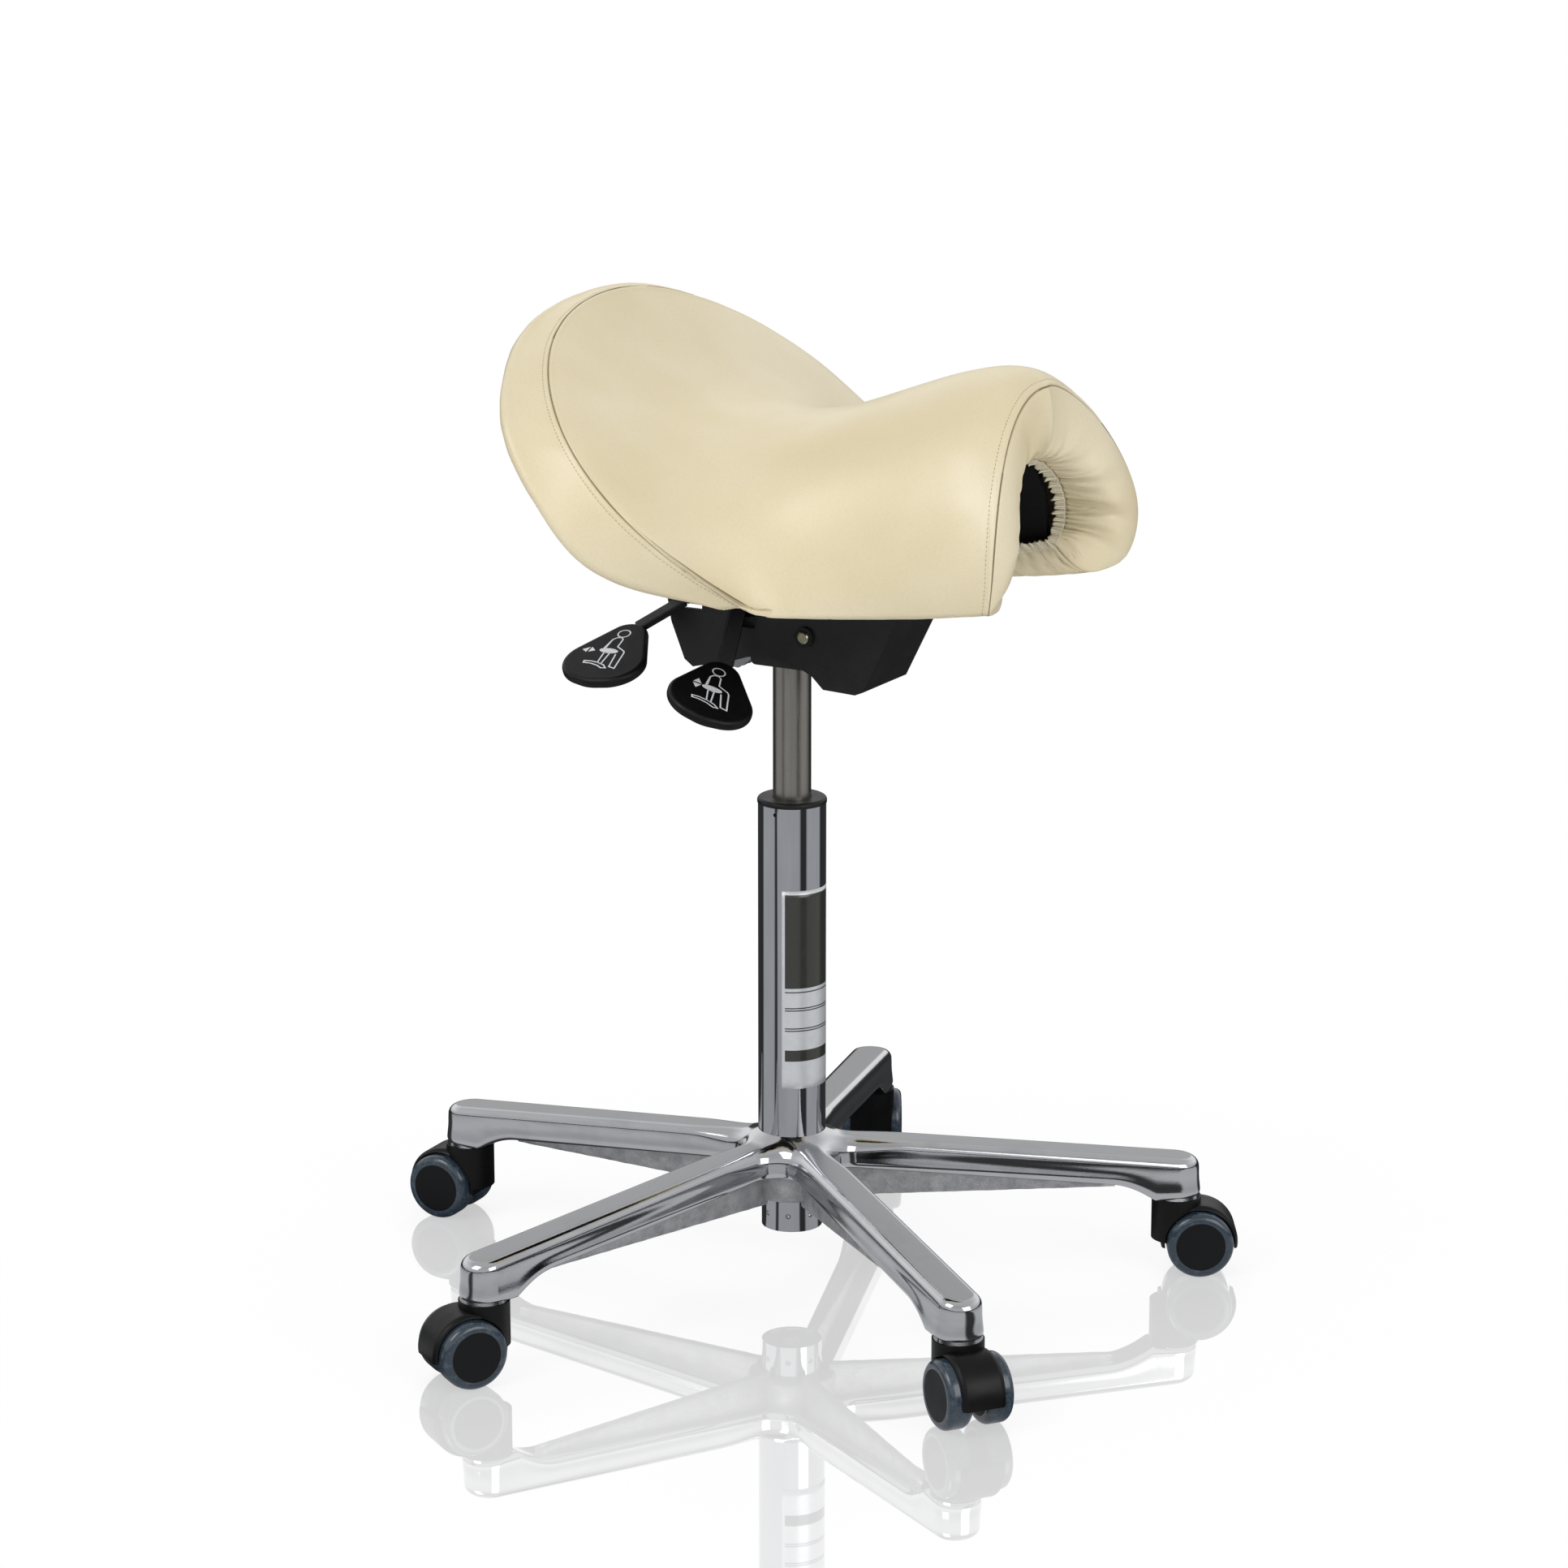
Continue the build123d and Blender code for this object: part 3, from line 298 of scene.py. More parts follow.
def elastic_binding(colours):
    """Overlocked edge of the cover, gathered on elastic: looped thread across the edge."""
    material, tree, place = start("Overlocked_elastic")
    along = add(tree, "UVMap")["UV"]
    # one loop of overlock thread is 1.4 mm along the edge
    loops = add(tree, "TexWave",
                {"Vector": along, "Scale": 0.224, "Distortion": 1.6, "Detail": 2.0},
                bands_direction="X")["Fac"]
    fuzz = add(tree, "TexNoise", {"Vector": place, "Scale": 1 / (0.9 * MM), "Detail": 3})["Fac"]
    colour = add(tree, "Mix", {0: loops, 6: linear("B5A985"), 7: [*colours.binding, 1]},
                 data_type="RGBA")[2]
    pale = add(tree, "Math", fuzz, 0.35, operation="MULTIPLY")[0]
    colour = add(tree, "Mix", {0: pale, 6: colour, 7: linear("E4DCC2")}, data_type="RGBA")[2]
    height = add(tree, "Math", loops, fuzz, operation="ADD")[0]
    close(tree, height, 0.0005, 0.8, Base_Color=colour, Roughness=0.85)
    return material


def black_lining():
    """Woven polypropylene dust cloth under the seat: matt black with a fine weave."""
    material, tree, place = start("Black_dust_cloth")
    # the weave repeats every 1.2 mm
    weave = add(tree, "TexWave", {"Vector": place, "Scale": 260.0})["Fac"]
    colour = add(tree, "Mix", {0: weave, 6: linear("0D0D0E"), 7: linear("1B1B1D")},
                 data_type="RGBA")[2]
    close(tree, weave, 0.0002, 0.6, Base_Color=colour, Roughness=0.85)
    return material


def cast_aluminium(colours):
    """Die-cast aluminium: buffed bright on its shoulders, satin on top, as cast in the ribs, with
    a painted reflection of a dark horizon on its sides.
    """
    material, tree, place = start("Polished_cast_aluminium")
    axes = add(tree, "SeparateXYZ", place)
    flat = add(tree, "CombineXYZ", axes[0], axes[1], 0.0)[0]
    radius = add(tree, "VectorMath", flat, operation="LENGTH")["Value"]
    # raw metal below the arms' lower edge, out to the end of the ribs
    fall = add(tree, "Math", radius, SLOPE, operation="MULTIPLY")[0]
    lower_edge = add(tree, "Math", (HUB_HEIGHT - ARM_DEPTH + 0.2) * MM, fall,
                     operation="SUBTRACT")[0]
    below = add(tree, "Math", lower_edge, axes[2], operation="SUBTRACT")[0]
    below = add(tree, "MapRange", below, 0.0, 1.2 * MM)[0]
    inboard = add(tree, "MapRange", radius, (RIB_END - 12) * MM, (RIB_END - 4) * MM, 1.0, 0.0)[0]
    raw = add(tree, "Math", below, inboard, operation="MULTIPLY")[0]
    facing = add(tree, "SeparateXYZ", add(tree, "NewGeometry")["Normal"])[2]
    satin = add(tree, "MapRange", facing, 0.955, 0.99)[0]
    grit = add(tree, "TexNoise",
               {"Vector": place, "Scale": 1 / (1.6 * MM), "Detail": 5, "Roughness": 0.65})["Fac"]
    brush = add(tree, "TexNoise", {"Vector": place, "Scale": 1 / (0.5 * MM), "Detail": 3})["Fac"]
    wear = add(tree, "TexNoise",
               {"Vector": place, "Scale": 1 / (42 * MM), "Detail": 5, "Roughness": 0.6})["Fac"]
    # painted reflection: the sides are darker in a band below the shoulder, in long soft stripes,
    # as if they mirrored a dark horizon
    stretch = add(tree, "Mapping", {"Vector": place, "Scale": (1, 1, 6)})["Vector"]
    reflection_streaks = add(tree, "TexNoise",
                  {"Vector": stretch, "Scale": 1 / (60 * MM), "Detail": 3})["Fac"]
    reflection_streaks = add(tree, "MapRange", reflection_streaks, 0.3, 0.7, 0.32, 0.42)[0]
    band = add(tree, "Math", facing, reflection_streaks, operation="SUBTRACT")[0]
    band = add(tree, "Math", band, operation="ABSOLUTE")[0]
    band = add(tree, "MapRange", band, 0.08, 0.36, 1.0, 0.0)[0]
    band = add(tree, "Math", band, 0.48, operation="MULTIPLY")[0]
    polished = add(tree, "MapRange", wear, 0.35, 0.7, 0.05, 0.11)[0]
    satined = add(tree, "MapRange", brush, 0.3, 0.7, 0.34, 0.44)[0]
    rough = add(tree, "Mix", {0: satin, 2: polished, 3: satined})[0]
    rough = add(tree, "Mix", {0: raw, 2: rough, 3: 0.5})[0]
    colour = add(tree, "Mix", {0: satin, 6: [*colours.aluminium, 1], 7: [*colours.satin, 1]},
                 data_type="RGBA")[2]
    # painted reflection: a dark horizon mirrored in the sides
    colour = add(tree, "Mix", {0: band, 6: colour, 7: linear("4A4E56")}, data_type="RGBA")[2]
    stains = add(tree, "TexNoise",
                 {"Vector": place, "Scale": 1 / (11 * MM), "Detail": 6, "Roughness": 0.7})["Fac"]
    stains = add(tree, "MapRange", stains, 0.35, 0.7)[0]
    mould = add(tree, "Mix", {0: stains, 6: linear("C4C4C6"), 7: linear("98999C")},
                data_type="RGBA")[2]
    colour = add(tree, "Mix", {0: raw, 6: colour, 7: mould}, data_type="RGBA")[2]
    dull = add(tree, "MapRange", wear, 0.55, 0.75, 0.0, 0.25)[0]
    colour = add(tree, "Mix", {0: dull, 6: colour, 7: linear("8A8B8E")}, data_type="RGBA")[2]
    coarse = add(tree, "Math", raw, 0.03, operation="ADD")[0]
    coarse = add(tree, "Math", grit, coarse, operation="MULTIPLY")[0]
    fine = add(tree, "Math", brush, 0.02, operation="MULTIPLY")[0]
    height = add(tree, "Math", coarse, fine, operation="ADD")[0]
    close(tree, height, 0.0009, 0.7, Base_Color=colour, Metallic=1.0, Roughness=rough)
    return material


def chrome_plate(colours):
    """Bright chrome plate on steel tube: mirror smooth, with faint wiping marks."""
    material, tree, place = start("Chrome_plate")
    stretch = add(tree, "Mapping", {"Vector": place, "Scale": (1.0, 1.0, 0.15)})["Vector"]
    marks = add(tree, "TexNoise",
                {"Vector": stretch, "Scale": 1 / (14 * MM), "Detail": 5, "Roughness": 0.6})["Fac"]
    rough = add(tree, "MapRange", marks, 0.45, 0.75, 0.035, 0.085)[0]
    wiped = add(tree, "MapRange", marks, 0.3, 0.8)[0]
    colour = add(tree, "Mix", {0: wiped, 6: [*colours.chrome, 1], 7: linear("A6A8AC")},
                 data_type="RGBA")[2]
    close(tree, marks, 0.00002, 0.3, Base_Color=colour, Metallic=1.0, Roughness=rough)
    return material


def drawn_cylinder():
    """Cold-drawn steel cylinder, phosphated and oiled: grey with fine lines along it."""
    material, tree, place = start("Drawn_steel_cylinder")
    stretch = add(tree, "Mapping", {"Vector": place, "Scale": (1.0, 1.0, 0.03)})["Vector"]
    lines = add(tree, "TexNoise",
                {"Vector": stretch, "Scale": 1 / (0.9 * MM), "Detail": 4, "Roughness": 0.7})["Fac"]
    bands = add(tree, "TexNoise", {"Vector": stretch, "Scale": 1 / (8 * MM), "Detail": 2})["Fac"]
    colour = add(tree, "Mix", {0: bands, 6: linear("7E7C76"), 7: linear("A3A199")},
                 data_type="RGBA")[2]
    rough = add(tree, "MapRange", lines, 0.3, 0.7, 0.24, 0.36)[0]
    close(tree, lines, 0.00006, 0.5, Base_Color=colour, Metallic=1.0, Roughness=rough)
    return material


def black_powder_coat():
    """Black powder coat on bent steel: satin, with a fine orange-peel surface."""
    material, tree, place = start("Black_powder_coat")
    peel = add(tree, "TexNoise", {"Vector": place, "Scale": 1 / (1.1 * MM), "Detail": 2})["Fac"]
    dust = add(tree, "TexNoise",
               {"Vector": place, "Scale": 1 / (26 * MM), "Detail": 5, "Roughness": 0.6})["Fac"]
    dusty = add(tree, "MapRange", dust, 0.5, 0.8, 0.0, 0.5)[0]
    colour = add(tree, "Mix", {0: dusty, 6: linear("0F0F10"), 7: linear("1E1E20")},
                 data_type="RGBA")[2]
    rough = add(tree, "MapRange", dust, 0.3, 0.7, 0.34, 0.44)[0]
    close(tree, peel, 0.00009, 0.5, Base_Color=colour, Roughness=rough, Specular_IOR_Level=0.5)
    return material


def moulded_plastic(name, colour, low, high, grain=0.9):
    """Injection-moulded plastic: an even fine spark texture from its mould."""
    material, tree, place = start(name)
    spark = add(tree, "TexNoise",
                {"Vector": place, "Scale": 1 / (grain * MM), "Detail": 3, "Roughness": 0.6})["Fac"]
    handling = add(tree, "TexNoise",
                   {"Vector": place, "Scale": 1 / (18 * MM), "Detail": 4, "Roughness": 0.6})["Fac"]
    worn = [c * 1.5 for c in hue(colour)] + [1]
    tint = add(tree, "Mix", {0: handling, 6: linear(colour), 7: worn}, data_type="RGBA")[2]
    rough = add(tree, "MapRange", handling, 0.3, 0.7, low, high)[0]
    close(tree, spark, 0.00008, 0.55, Base_Color=tint, Roughness=rough, Specular_IOR_Level=0.2)
    return material


def soft_tread(colours):
    """Soft polyurethane tread: glossy blue-grey, with faint scuffs."""
    material, tree, place = start("Polyurethane_tread")
    scuff = add(tree, "TexNoise",
                {"Vector": place, "Scale": 1 / (5 * MM), "Detail": 5, "Roughness": 0.7})["Fac"]
    scuffed = add(tree, "MapRange", scuff, 0.5, 0.8, 0.0, 0.4)[0]
    colour = add(tree, "Mix", {0: scuffed, 6: [*colours.tread, 1], 7: linear("6A7784")},
                 data_type="RGBA")[2]
    rough = add(tree, "MapRange", scuff, 0.3, 0.75, 0.16, 0.34)[0]
    close(tree, scuff, 0.00005, 0.3, Base_Color=colour, Roughness=rough, Coat_Weight=0.25,
          Coat_Roughness=0.1)
    return material


def zinc_plate():
    """Yellow-passivated zinc plate on a turned bolt: dull gold-green metal."""
    material, tree, place = start("Passivated_zinc")
    blotch = add(tree, "TexNoise", {"Vector": place, "Scale": 1 / (2.5 * MM), "Detail": 3})["Fac"]
    colour = add(tree, "Mix", {0: blotch, 6: linear("A9A57E"), 7: linear("C9C7AE")},
                 data_type="RGBA")[2]
    close(tree, blotch, 0.00005, 0.4, Base_Color=colour, Metallic=1.0,
          Roughness=add(tree, "MapRange", blotch, 0.3, 0.7, 0.26, 0.4)[0])
    return material


def turned_steel():
    """Ground steel rod and clips: bright, with a trace of oil."""
    material, tree, place = start("Ground_steel")
    lines = add(tree, "TexNoise",
                {"Vector": place, "Scale": 1 / (1.5 * MM), "Detail": 4, "Roughness": 0.7})["Fac"]
    colour = add(tree, "Mix", {0: lines, 6: linear("9C9DA0"), 7: linear("BDBEC1")},
                 data_type="RGBA")[2]
    close(tree, lines, 0.00004, 0.4, Base_Color=colour, Metallic=1.0,
          Roughness=add(tree, "MapRange", lines, 0.3, 0.7, 0.18, 0.32)[0])
    return material


def stained_plywood():
    """Birch plywood stained black: open grain along its length."""
    material, tree, place = start("Stained_plywood")
    stretch = add(tree, "Mapping", {"Vector": place, "Scale": (0.08, 1.0, 1.0)})["Vector"]
    grain = add(tree, "TexNoise",
                {"Vector": stretch, "Scale": 1 / (2.4 * MM), "Detail": 5,
                 "Roughness": 0.65})["Fac"]
    colour = add(tree, "Mix", {0: grain, 6: linear("0E0D0C"), 7: linear("2A2622")},
                 data_type="RGBA")[2]
    close(tree, grain, 0.0003, 0.6, Base_Color=colour, Roughness=0.62)
    return material


def black_rubber():
    """Moulded rubber bumper: dead matt."""
    material, tree, place = start("Black_rubber")
    bloom = add(tree, "TexNoise", {"Vector": place, "Scale": 1 / (3 * MM), "Detail": 4})["Fac"]
    colour = add(tree, "Mix", {0: bloom, 6: linear("121212"), 7: linear("202020")},
                 data_type="RGBA")[2]
    close(tree, bloom, 0.0001, 0.5, Base_Color=colour, Roughness=0.8)
    return material


def printed_ink(name, colour):
    """Pad-printed ink: flat, slightly uneven, thinner in places."""
    material, tree, place = start(name)
    mottle = add(tree, "TexNoise", {"Vector": place, "Scale": 1 / (1.2 * MM), "Detail": 3})["Fac"]
    thin = add(tree, "MapRange", mottle, 0.3, 0.8, 0.0, 0.25)[0]
    tint = add(tree, "Mix", {0: thin, 6: linear(colour), 7: linear("B4B8C0")}, data_type="RGBA")[2]
    close(tree, mottle, 0.00002, 0.4, Base_Color=tint, Roughness=0.5)
    return material


def label_film(colours):
    """Blank polyester label: pale satin film with a plain dark field, ruled lines and a bar."""
    material, tree, place = start("Polyester_label")
    uv = add(tree, "SeparateXYZ", add(tree, "UVMap")["UV"])

    def band(value, low, high):
        """1 between low and high, with a soft edge outside them."""
        soft = 0.002
        lower = add(tree, "MapRange", value, low - soft, low)[0]
        upper = add(tree, "MapRange", value, high, high + soft, 1.0, 0.0)[0]
        return add(tree, "Math", lower, upper, operation="MULTIPLY")[0]

    across = band(uv[0], *LABEL_MARGINS)
    dark = band(uv[1], *LABEL_FIELD)
    for low, high in LABEL_RULES:
        dark = add(tree, "Math", dark, band(uv[1], low, high), operation="MAXIMUM")[0]
    printed = add(tree, "Math", dark, across, operation="MULTIPLY")[0]
    mottle = add(tree, "TexNoise", {"Vector": place, "Scale": 1 / (6 * MM), "Detail": 4})["Fac"]
    film = add(tree, "Mix", {0: mottle, 6: [*colours.label, 1], 7: linear("BFC2C6")},
               data_type="RGBA")[2]
    film = add(tree, "Mix", {0: printed, 6: film, 7: linear("32332E")}, data_type="RGBA")[2]
    rough = add(tree, "MapRange", mottle, 0.3, 0.7, 0.28, 0.38)[0]
    close(tree, mottle, 0.00003, 0.4, Base_Color=film, Roughness=rough, Metallic=0.35,
          Coat_Weight=0.5, Coat_Roughness=0.08)
    return material


def give(material, *names):
    """Puts a finish on CAD nodes."""
    for name in names:
        slots = NODES[name].data.materials
        slots.clear()
        slots.append(material)
        for polygon in NODES[name].data.polygons:
            polygon.material_index = 0


# ------------------------------------------------------------------ saddle surface
def weights(u):
    """Shares of the five stations at u, 0 at the rear seam and 4 at the front seam."""
    return [math.prod((u - j) / (i - j) for j in range(5) if j != i) for i in range(5)]


def cubic(points, t):
    """Point at t, 0 to 1, on the curve drawn from the first to the last of four points."""
    s = 1 - t
    return (points[0] * s ** 3 + points[1] * (3 * t * s * s) + points[2] * (3 * t * t * s)
            + points[3] * t ** 3)


def bent(points, t):
    """Point on the smooth path that touches the middle of each inner run of a polyline."""
    pieces = len(points) - 2
    k = min(int(t * pieces), pieces - 1)
    s = t * pieces - k
    first = points[0] if k == 0 else (points[k] + points[k + 1]) / 2
    last = points[-1] if k == pieces - 1 else (points[k + 1] + points[k + 2]) / 2
    return first * (1 - s) ** 2 + points[k + 1] * (2 * s * (1 - s)) + last * s * s


def top(u, c):
    """Top panel at u along and c across: 0 on the crown, 1 at a foot, beyond it under the leg."""
    share = weights(u)
    (ax, az, fx, fz, half, crown, flare, knee, lean, sweep, inner, trail) = (
        sum(w * v for w, v in zip(share, row)) for row in STATIONS)
    side = -1 if c < 0 else 1
    c = abs(c)
    slope = (ax - fx) / (az - fz)
    curve = (Vector((ax, 0, az)), Vector((ax + lean, crown, az)),
             Vector((fx + slope * knee + sweep, half + flare, fz + knee)), Vector((fx, half, fz)))
    if c <= 1:
        p = cubic(curve, c * FOOT_SHARE)
    else:
        p0 = cubic(curve, FOOT_SHARE)
        run = curve[3] - curve[2]
        corner = p0 + run * ((fz - 1 - p0.z) / run.z)
        under = Vector((fx + 0.35 * trail, inner - 1.5, fz - 1))
        hem = Vector((fx + slope * HEM_RISE * 0.5 + trail, inner - 1, fz + HEM_RISE))
        p = bent((p0, corner, under, hem), (c - 1) / WRAP)
    return Vector((p.x, p.y * side, p.z))


def mirrored(v, c):
    """The point itself on the left side, its mirror image where c is negative."""
    return Vector((v.x, -v.y if c < 0 else v.y, v.z))


def through(table, c):
    """Smooth point at c, 0 to 1, on the curve through a table at the boxing's knots."""
    knots = (-BOXING_KNOTS[1], *BOXING_KNOTS)
    points = [Vector((table[1][0], -table[1][1], table[1][2])), *(Vector(p) for p in table)]
    k = next(i for i in range(1, len(knots) - 1) if c <= knots[i + 1])

    def tangent(i):
        """Direction and pace of the curve at a knot."""
        low, high = i - 1, min(i + 1, len(knots) - 1)
        return (points[high] - points[low]) / (knots[high] - knots[low])

    run = knots[k + 1] - knots[k]
    t = (c - knots[k]) / run
    return (points[k] * (2 * t ** 3 - 3 * t * t + 1) + tangent(k) * run * (t ** 3 - 2 * t * t + t)
            + points[k + 1] * (3 * t * t - 2 * t ** 3) + tangent(k + 1) * run * (t ** 3 - t * t))


def rear_path(c):
    """Control points of the cover from the rear seam round the boxing to its hem."""
    a = abs(c)
    seam = top(0, a)
    if a <= 1:
        full, crease = through(BOXING_FULL, a), through(BOXING_CREASE, a)
        rim = cubic([Vector(p) for p in TUNNEL_REAR], a)
        hem = crease + (rim - crease).normalized() * TURN_UNDER
        first = seam.lerp(full, 0.62)
        corner = crease + (crease - (full + hem) / 2) * 0.25
        middle = (full - (first + corner) * 0.125) / 0.75
        path = [seam, first, middle, corner, hem]
    else:
        share = (a - 1) / WRAP
        foot = rear_path(1.0)
        hem = foot[-1].lerp(top(0, 1 + WRAP), share)
        path = [seam]
        for k, point in enumerate(foot[1:-1], 1):
            drift = point - foot[0].lerp(foot[-1], k * 0.25)
            path.append(seam.lerp(hem, k * 0.25) + drift * (1 - share) ** 2)
        path.append(hem)
    return [mirrored(p, c) for p in path]


def front_path(c):
    """Control points of the cover from the front seam into the opening."""
    a = abs(c)
    seam = top(4, a)
    if a <= 1:
        hem, keep = cubic([Vector(p) for p in FRONT_HEM], a), 1.0
    else:
        share = (a - 1) / WRAP
        hem, keep = Vector(FRONT_HEM[3]).lerp(top(4, 1 + WRAP), share), 1 - share
    inward = Vector((0, hem.y - seam.y, hem.z - seam.z))
    first = seam + inward * 0.35 + Vector((FRONT_BULGE[0] * keep, 0, 0))
    second = seam + inward * 1.02
    second.x += FRONT_BULGE[1] * keep + (hem.x - seam.x) * (1 - keep)
    return [mirrored(p, c) for p in (seam, first, second, hem)]


def columns(count):
    """Places across the cover, from the hem inside one leg to the hem inside the other."""
    reach = 1 + WRAP
    return [-reach + 2 * reach * k / (count - 1) for k in range(count)]


def speed(u, c):
    """Millimetres along the saddle for one station, at an edge."""
    step = 0.01
    return max((top(u + step, c) - top(u - step, c)).length / (2 * step), 42.0)


def path_length(path, steps=24):
    """Length of the smooth path along a polyline."""
    marks = [bent(path, k / steps) for k in range(steps + 1)]
    return sum((b - a).length for a, b in zip(marks, marks[1:]))


def rows_of(length, count):
    """Distances from a seam that start fine and end at length."""
    near = [d for d in SEAM_STEPS if d < length * 0.35]
    rest = count - len(near)
    return near + [near[-1] + (length - near[-1]) * (k + 1) / rest for k in range(rest)]


def saddle_rows(cs):
    """Rows of base points from the rear hem to the front hem, and where each one lies."""
    rows = [[] for _ in range(REAR_ROWS - 1 + TOP_ROWS + FRONT_ROWS - 1)]
    facts = [[] for _ in rows]
    for c in cs:
        path = rear_path(c)
        length = path_length(path)
        for k, d in enumerate(rows_of(length, REAR_ROWS)[1:], 1):
            rows[REAR_ROWS - 1 - k].append(bent(path, d / length))
            facts[REAR_ROWS - 1 - k].append(("rear", d, length))
        near, far = speed(0, c), speed(4, c)
        low = [d / near for d in SEAM_STEPS]
        high = [4 - d / far for d in reversed(SEAM_STEPS)]
        middle = TOP_ROWS - 2 * len(SEAM_STEPS)
        spread = [low[-1] + (high[0] - low[-1]) * (k + 1) / (middle + 1) for k in range(middle)]
        for k, u in enumerate(low + spread + high):
            rows[REAR_ROWS - 1 + k].append(top(u, c))
            facts[REAR_ROWS - 1 + k].append(("top", u * near, (4 - u) * far))
        path = front_path(c)
        length = path_length(path)
        for k, d in enumerate(rows_of(length, FRONT_ROWS)[1:], 1):
            rows[REAR_ROWS - 1 + TOP_ROWS - 1 + k].append(bent(path, d / length))
            facts[REAR_ROWS - 1 + TOP_ROWS - 1 + k].append(("front", d, length))
    return rows, facts


def groove(distance, depth, width):
    """Height of a rounded groove at a distance from its middle."""
    return -depth * math.exp(-(distance / width) ** 2)


class Gathers:
    """Fine folds that run out from a gathered edge, at seeded places along it."""

    def __init__(self, seed, count, low, high):
        chance = random.Random(seed)
        self.folds = [(low + (high - low) * (k + chance.uniform(0.1, 0.9)) / count,
                       chance.uniform(0.5, 1.5), chance.uniform(0.7, 1.8), chance.uniform(7, 34),
                       chance.uniform(-0.25, 0.25)) for k in range(count)]

    def at(self, along, per, away, strength=1.0):
        """Height at a place along the edge, in units of per millimetres, and away from it."""
        total = 0.0
        for place, deep, wide, reach, turn in self.folds:
            if away > 2.2 * reach:
                continue
            x = (along - place) * per - turn * away
            w = wide * (1 + away / 16)
            if abs(x) > 4 * w:
                continue
            fade = math.exp(-(away / reach) ** 2)
            ridge = 0.45 * math.exp(-((x - 1.6 * w) / w) ** 2)
            total += deep * fade * (ridge - math.exp(-(x / w) ** 2))
        return total * strength


FRONT_GATHERS = Gathers(11, 74, -1.25, 1.25)
REAR_GATHERS = Gathers(23, 88, -1.0, 1.0)
LEG_GATHERS = Gathers(37, 34, 0.0, 4.0)


def leg_share(c):
    """0 on the hem inside a leg, 1 on its foot line, and more outside it."""
    return (1 + WRAP - abs(c)) / WRAP


def relief(kind, d, far, c, u_place, point):
    """Millimetres that a point of the cover stands out, how much seam it shows, and how deep it
    lies in the trough of a gather, which the material darkens as painted shade.
    """
    leg = leg_share(c)
    sewn = 1 - 0.85 * smooth(1.0, 1.06, abs(c))      # the seams run out under a leg
    height = 0.9 * noise.noise(point / 75.0) + 0.35 * noise.noise(point / 28.0)
    # the last value, the depth of a gather's trough, is darkened by the material as painted shade
    seam = gather = 0.0
    if kind == "top":
        for distance, lip in ((d, 0.5), (far, 0.55)):
            if distance < SEAM_REACH:
                height += sewn * (groove(distance, SEAM_DEPTH, 0.7)
                                  + lip * math.exp(-((distance - 2.6) / 1.7) ** 2))
                seam = max(seam, sewn * math.exp(-(distance / 0.55) ** 2))
        if far < SEAM_REACH:
            height += groove(far - FRONT_STITCH, 0.35, 0.9)
        if leg < 1:
            gather = LEG_GATHERS.at(u_place, EDGE_LENGTH[kind], leg * LEG_FIELD)
        return height + gather, min(seam, 1.0), min(max(-gather, 0.0), 1.0)
    seam = sewn * math.exp(-(d / 0.6) ** 2)
    if kind == "rear":
        height += sewn * (groove(d, SEAM_DEPTH, 0.8) + groove(d - REAR_STITCH, 0.3, 0.9))
        if abs(c) <= 1:
            gather = REAR_GATHERS.at(c, EDGE_LENGTH[kind], far - d)
        height += gather
        height += 0.18 * math.sin(c * 92) * math.exp(-((d - 6) / 6) ** 2)   # pulled by stitches
    else:
        strength = 1.0 if abs(c) < 1 else max(leg, 0.0)
        gather = FRONT_GATHERS.at(c, EDGE_LENGTH[kind], far - d, strength)
        height += sewn * groove(d, SEAM_DEPTH, 0.8)
        height += gather
    return height, min(seam, 1.0), min(max(-gather, 0.0), 1.0)


def set_floats(mesh, name, values):
    """Gives every vertex a value that a material can read."""
    mesh.attributes.new(name, "FLOAT", "POINT").data.foreach_set("value", values)


def shade_smooth(mesh):
    """Shades every face of a mesh smooth."""
    for polygon in mesh.polygons:
        polygon.use_smooth = True


def new_object(name, bm, *materials):
    """An object at the origin from a bmesh whose place is in its vertices, in metres."""
    mesh = bpy.data.meshes.new(name)
    bm.to_mesh(mesh)
    bm.free()
    for material in materials:
        mesh.materials.append(material)
    piece = bpy.data.objects.new(name, mesh)
    bpy.context.scene.collection.objects.link(piece)
    return piece


def sheet_of(rows):
    """A grid whose vertices stand at rows of points in millimetres."""
    bm = bmesh.new()
    wide, long = len(rows[0]), len(rows)
    bmesh.ops.create_grid(bm, x_segments=wide - 1, y_segments=long - 1, size=0.5)
    bm.verts.ensure_lookup_table()
    ordered = sorted(bm.verts, key=lambda v: (round((v.co.y + 0.5) * (long - 1)),
                                              round((v.co.x + 0.5) * (wide - 1))))
    for vert, point in zip(ordered, (p for row in rows for p in row)):
        vert.co = point * MM
    for index, vert in enumerate(ordered):
        vert.index = index
    bm.verts.sort()
    return bm


def turn_faces(bm, index, direction):
    """Reverses a sheet's faces if the normal of one of its vertices runs against a direction."""
    bm.normal_update()
    bm.verts.ensure_lookup_table()
    if bm.verts[index].normal.dot(direction) < 0:
        bmesh.ops.reverse_faces(bm, faces=bm.faces)


def lay_uv(bm, wide, across, along):
    """UVs on a sheet that is so many vertices wide: steps of across and along from its corner."""
    layer = bm.loops.layers.uv.new("UVMap")
    for face in bm.faces:
        for corner in face.loops:
            row, column = divmod(corner.vert.index, wide)
            corner[layer].uv = (column * across, row * along)


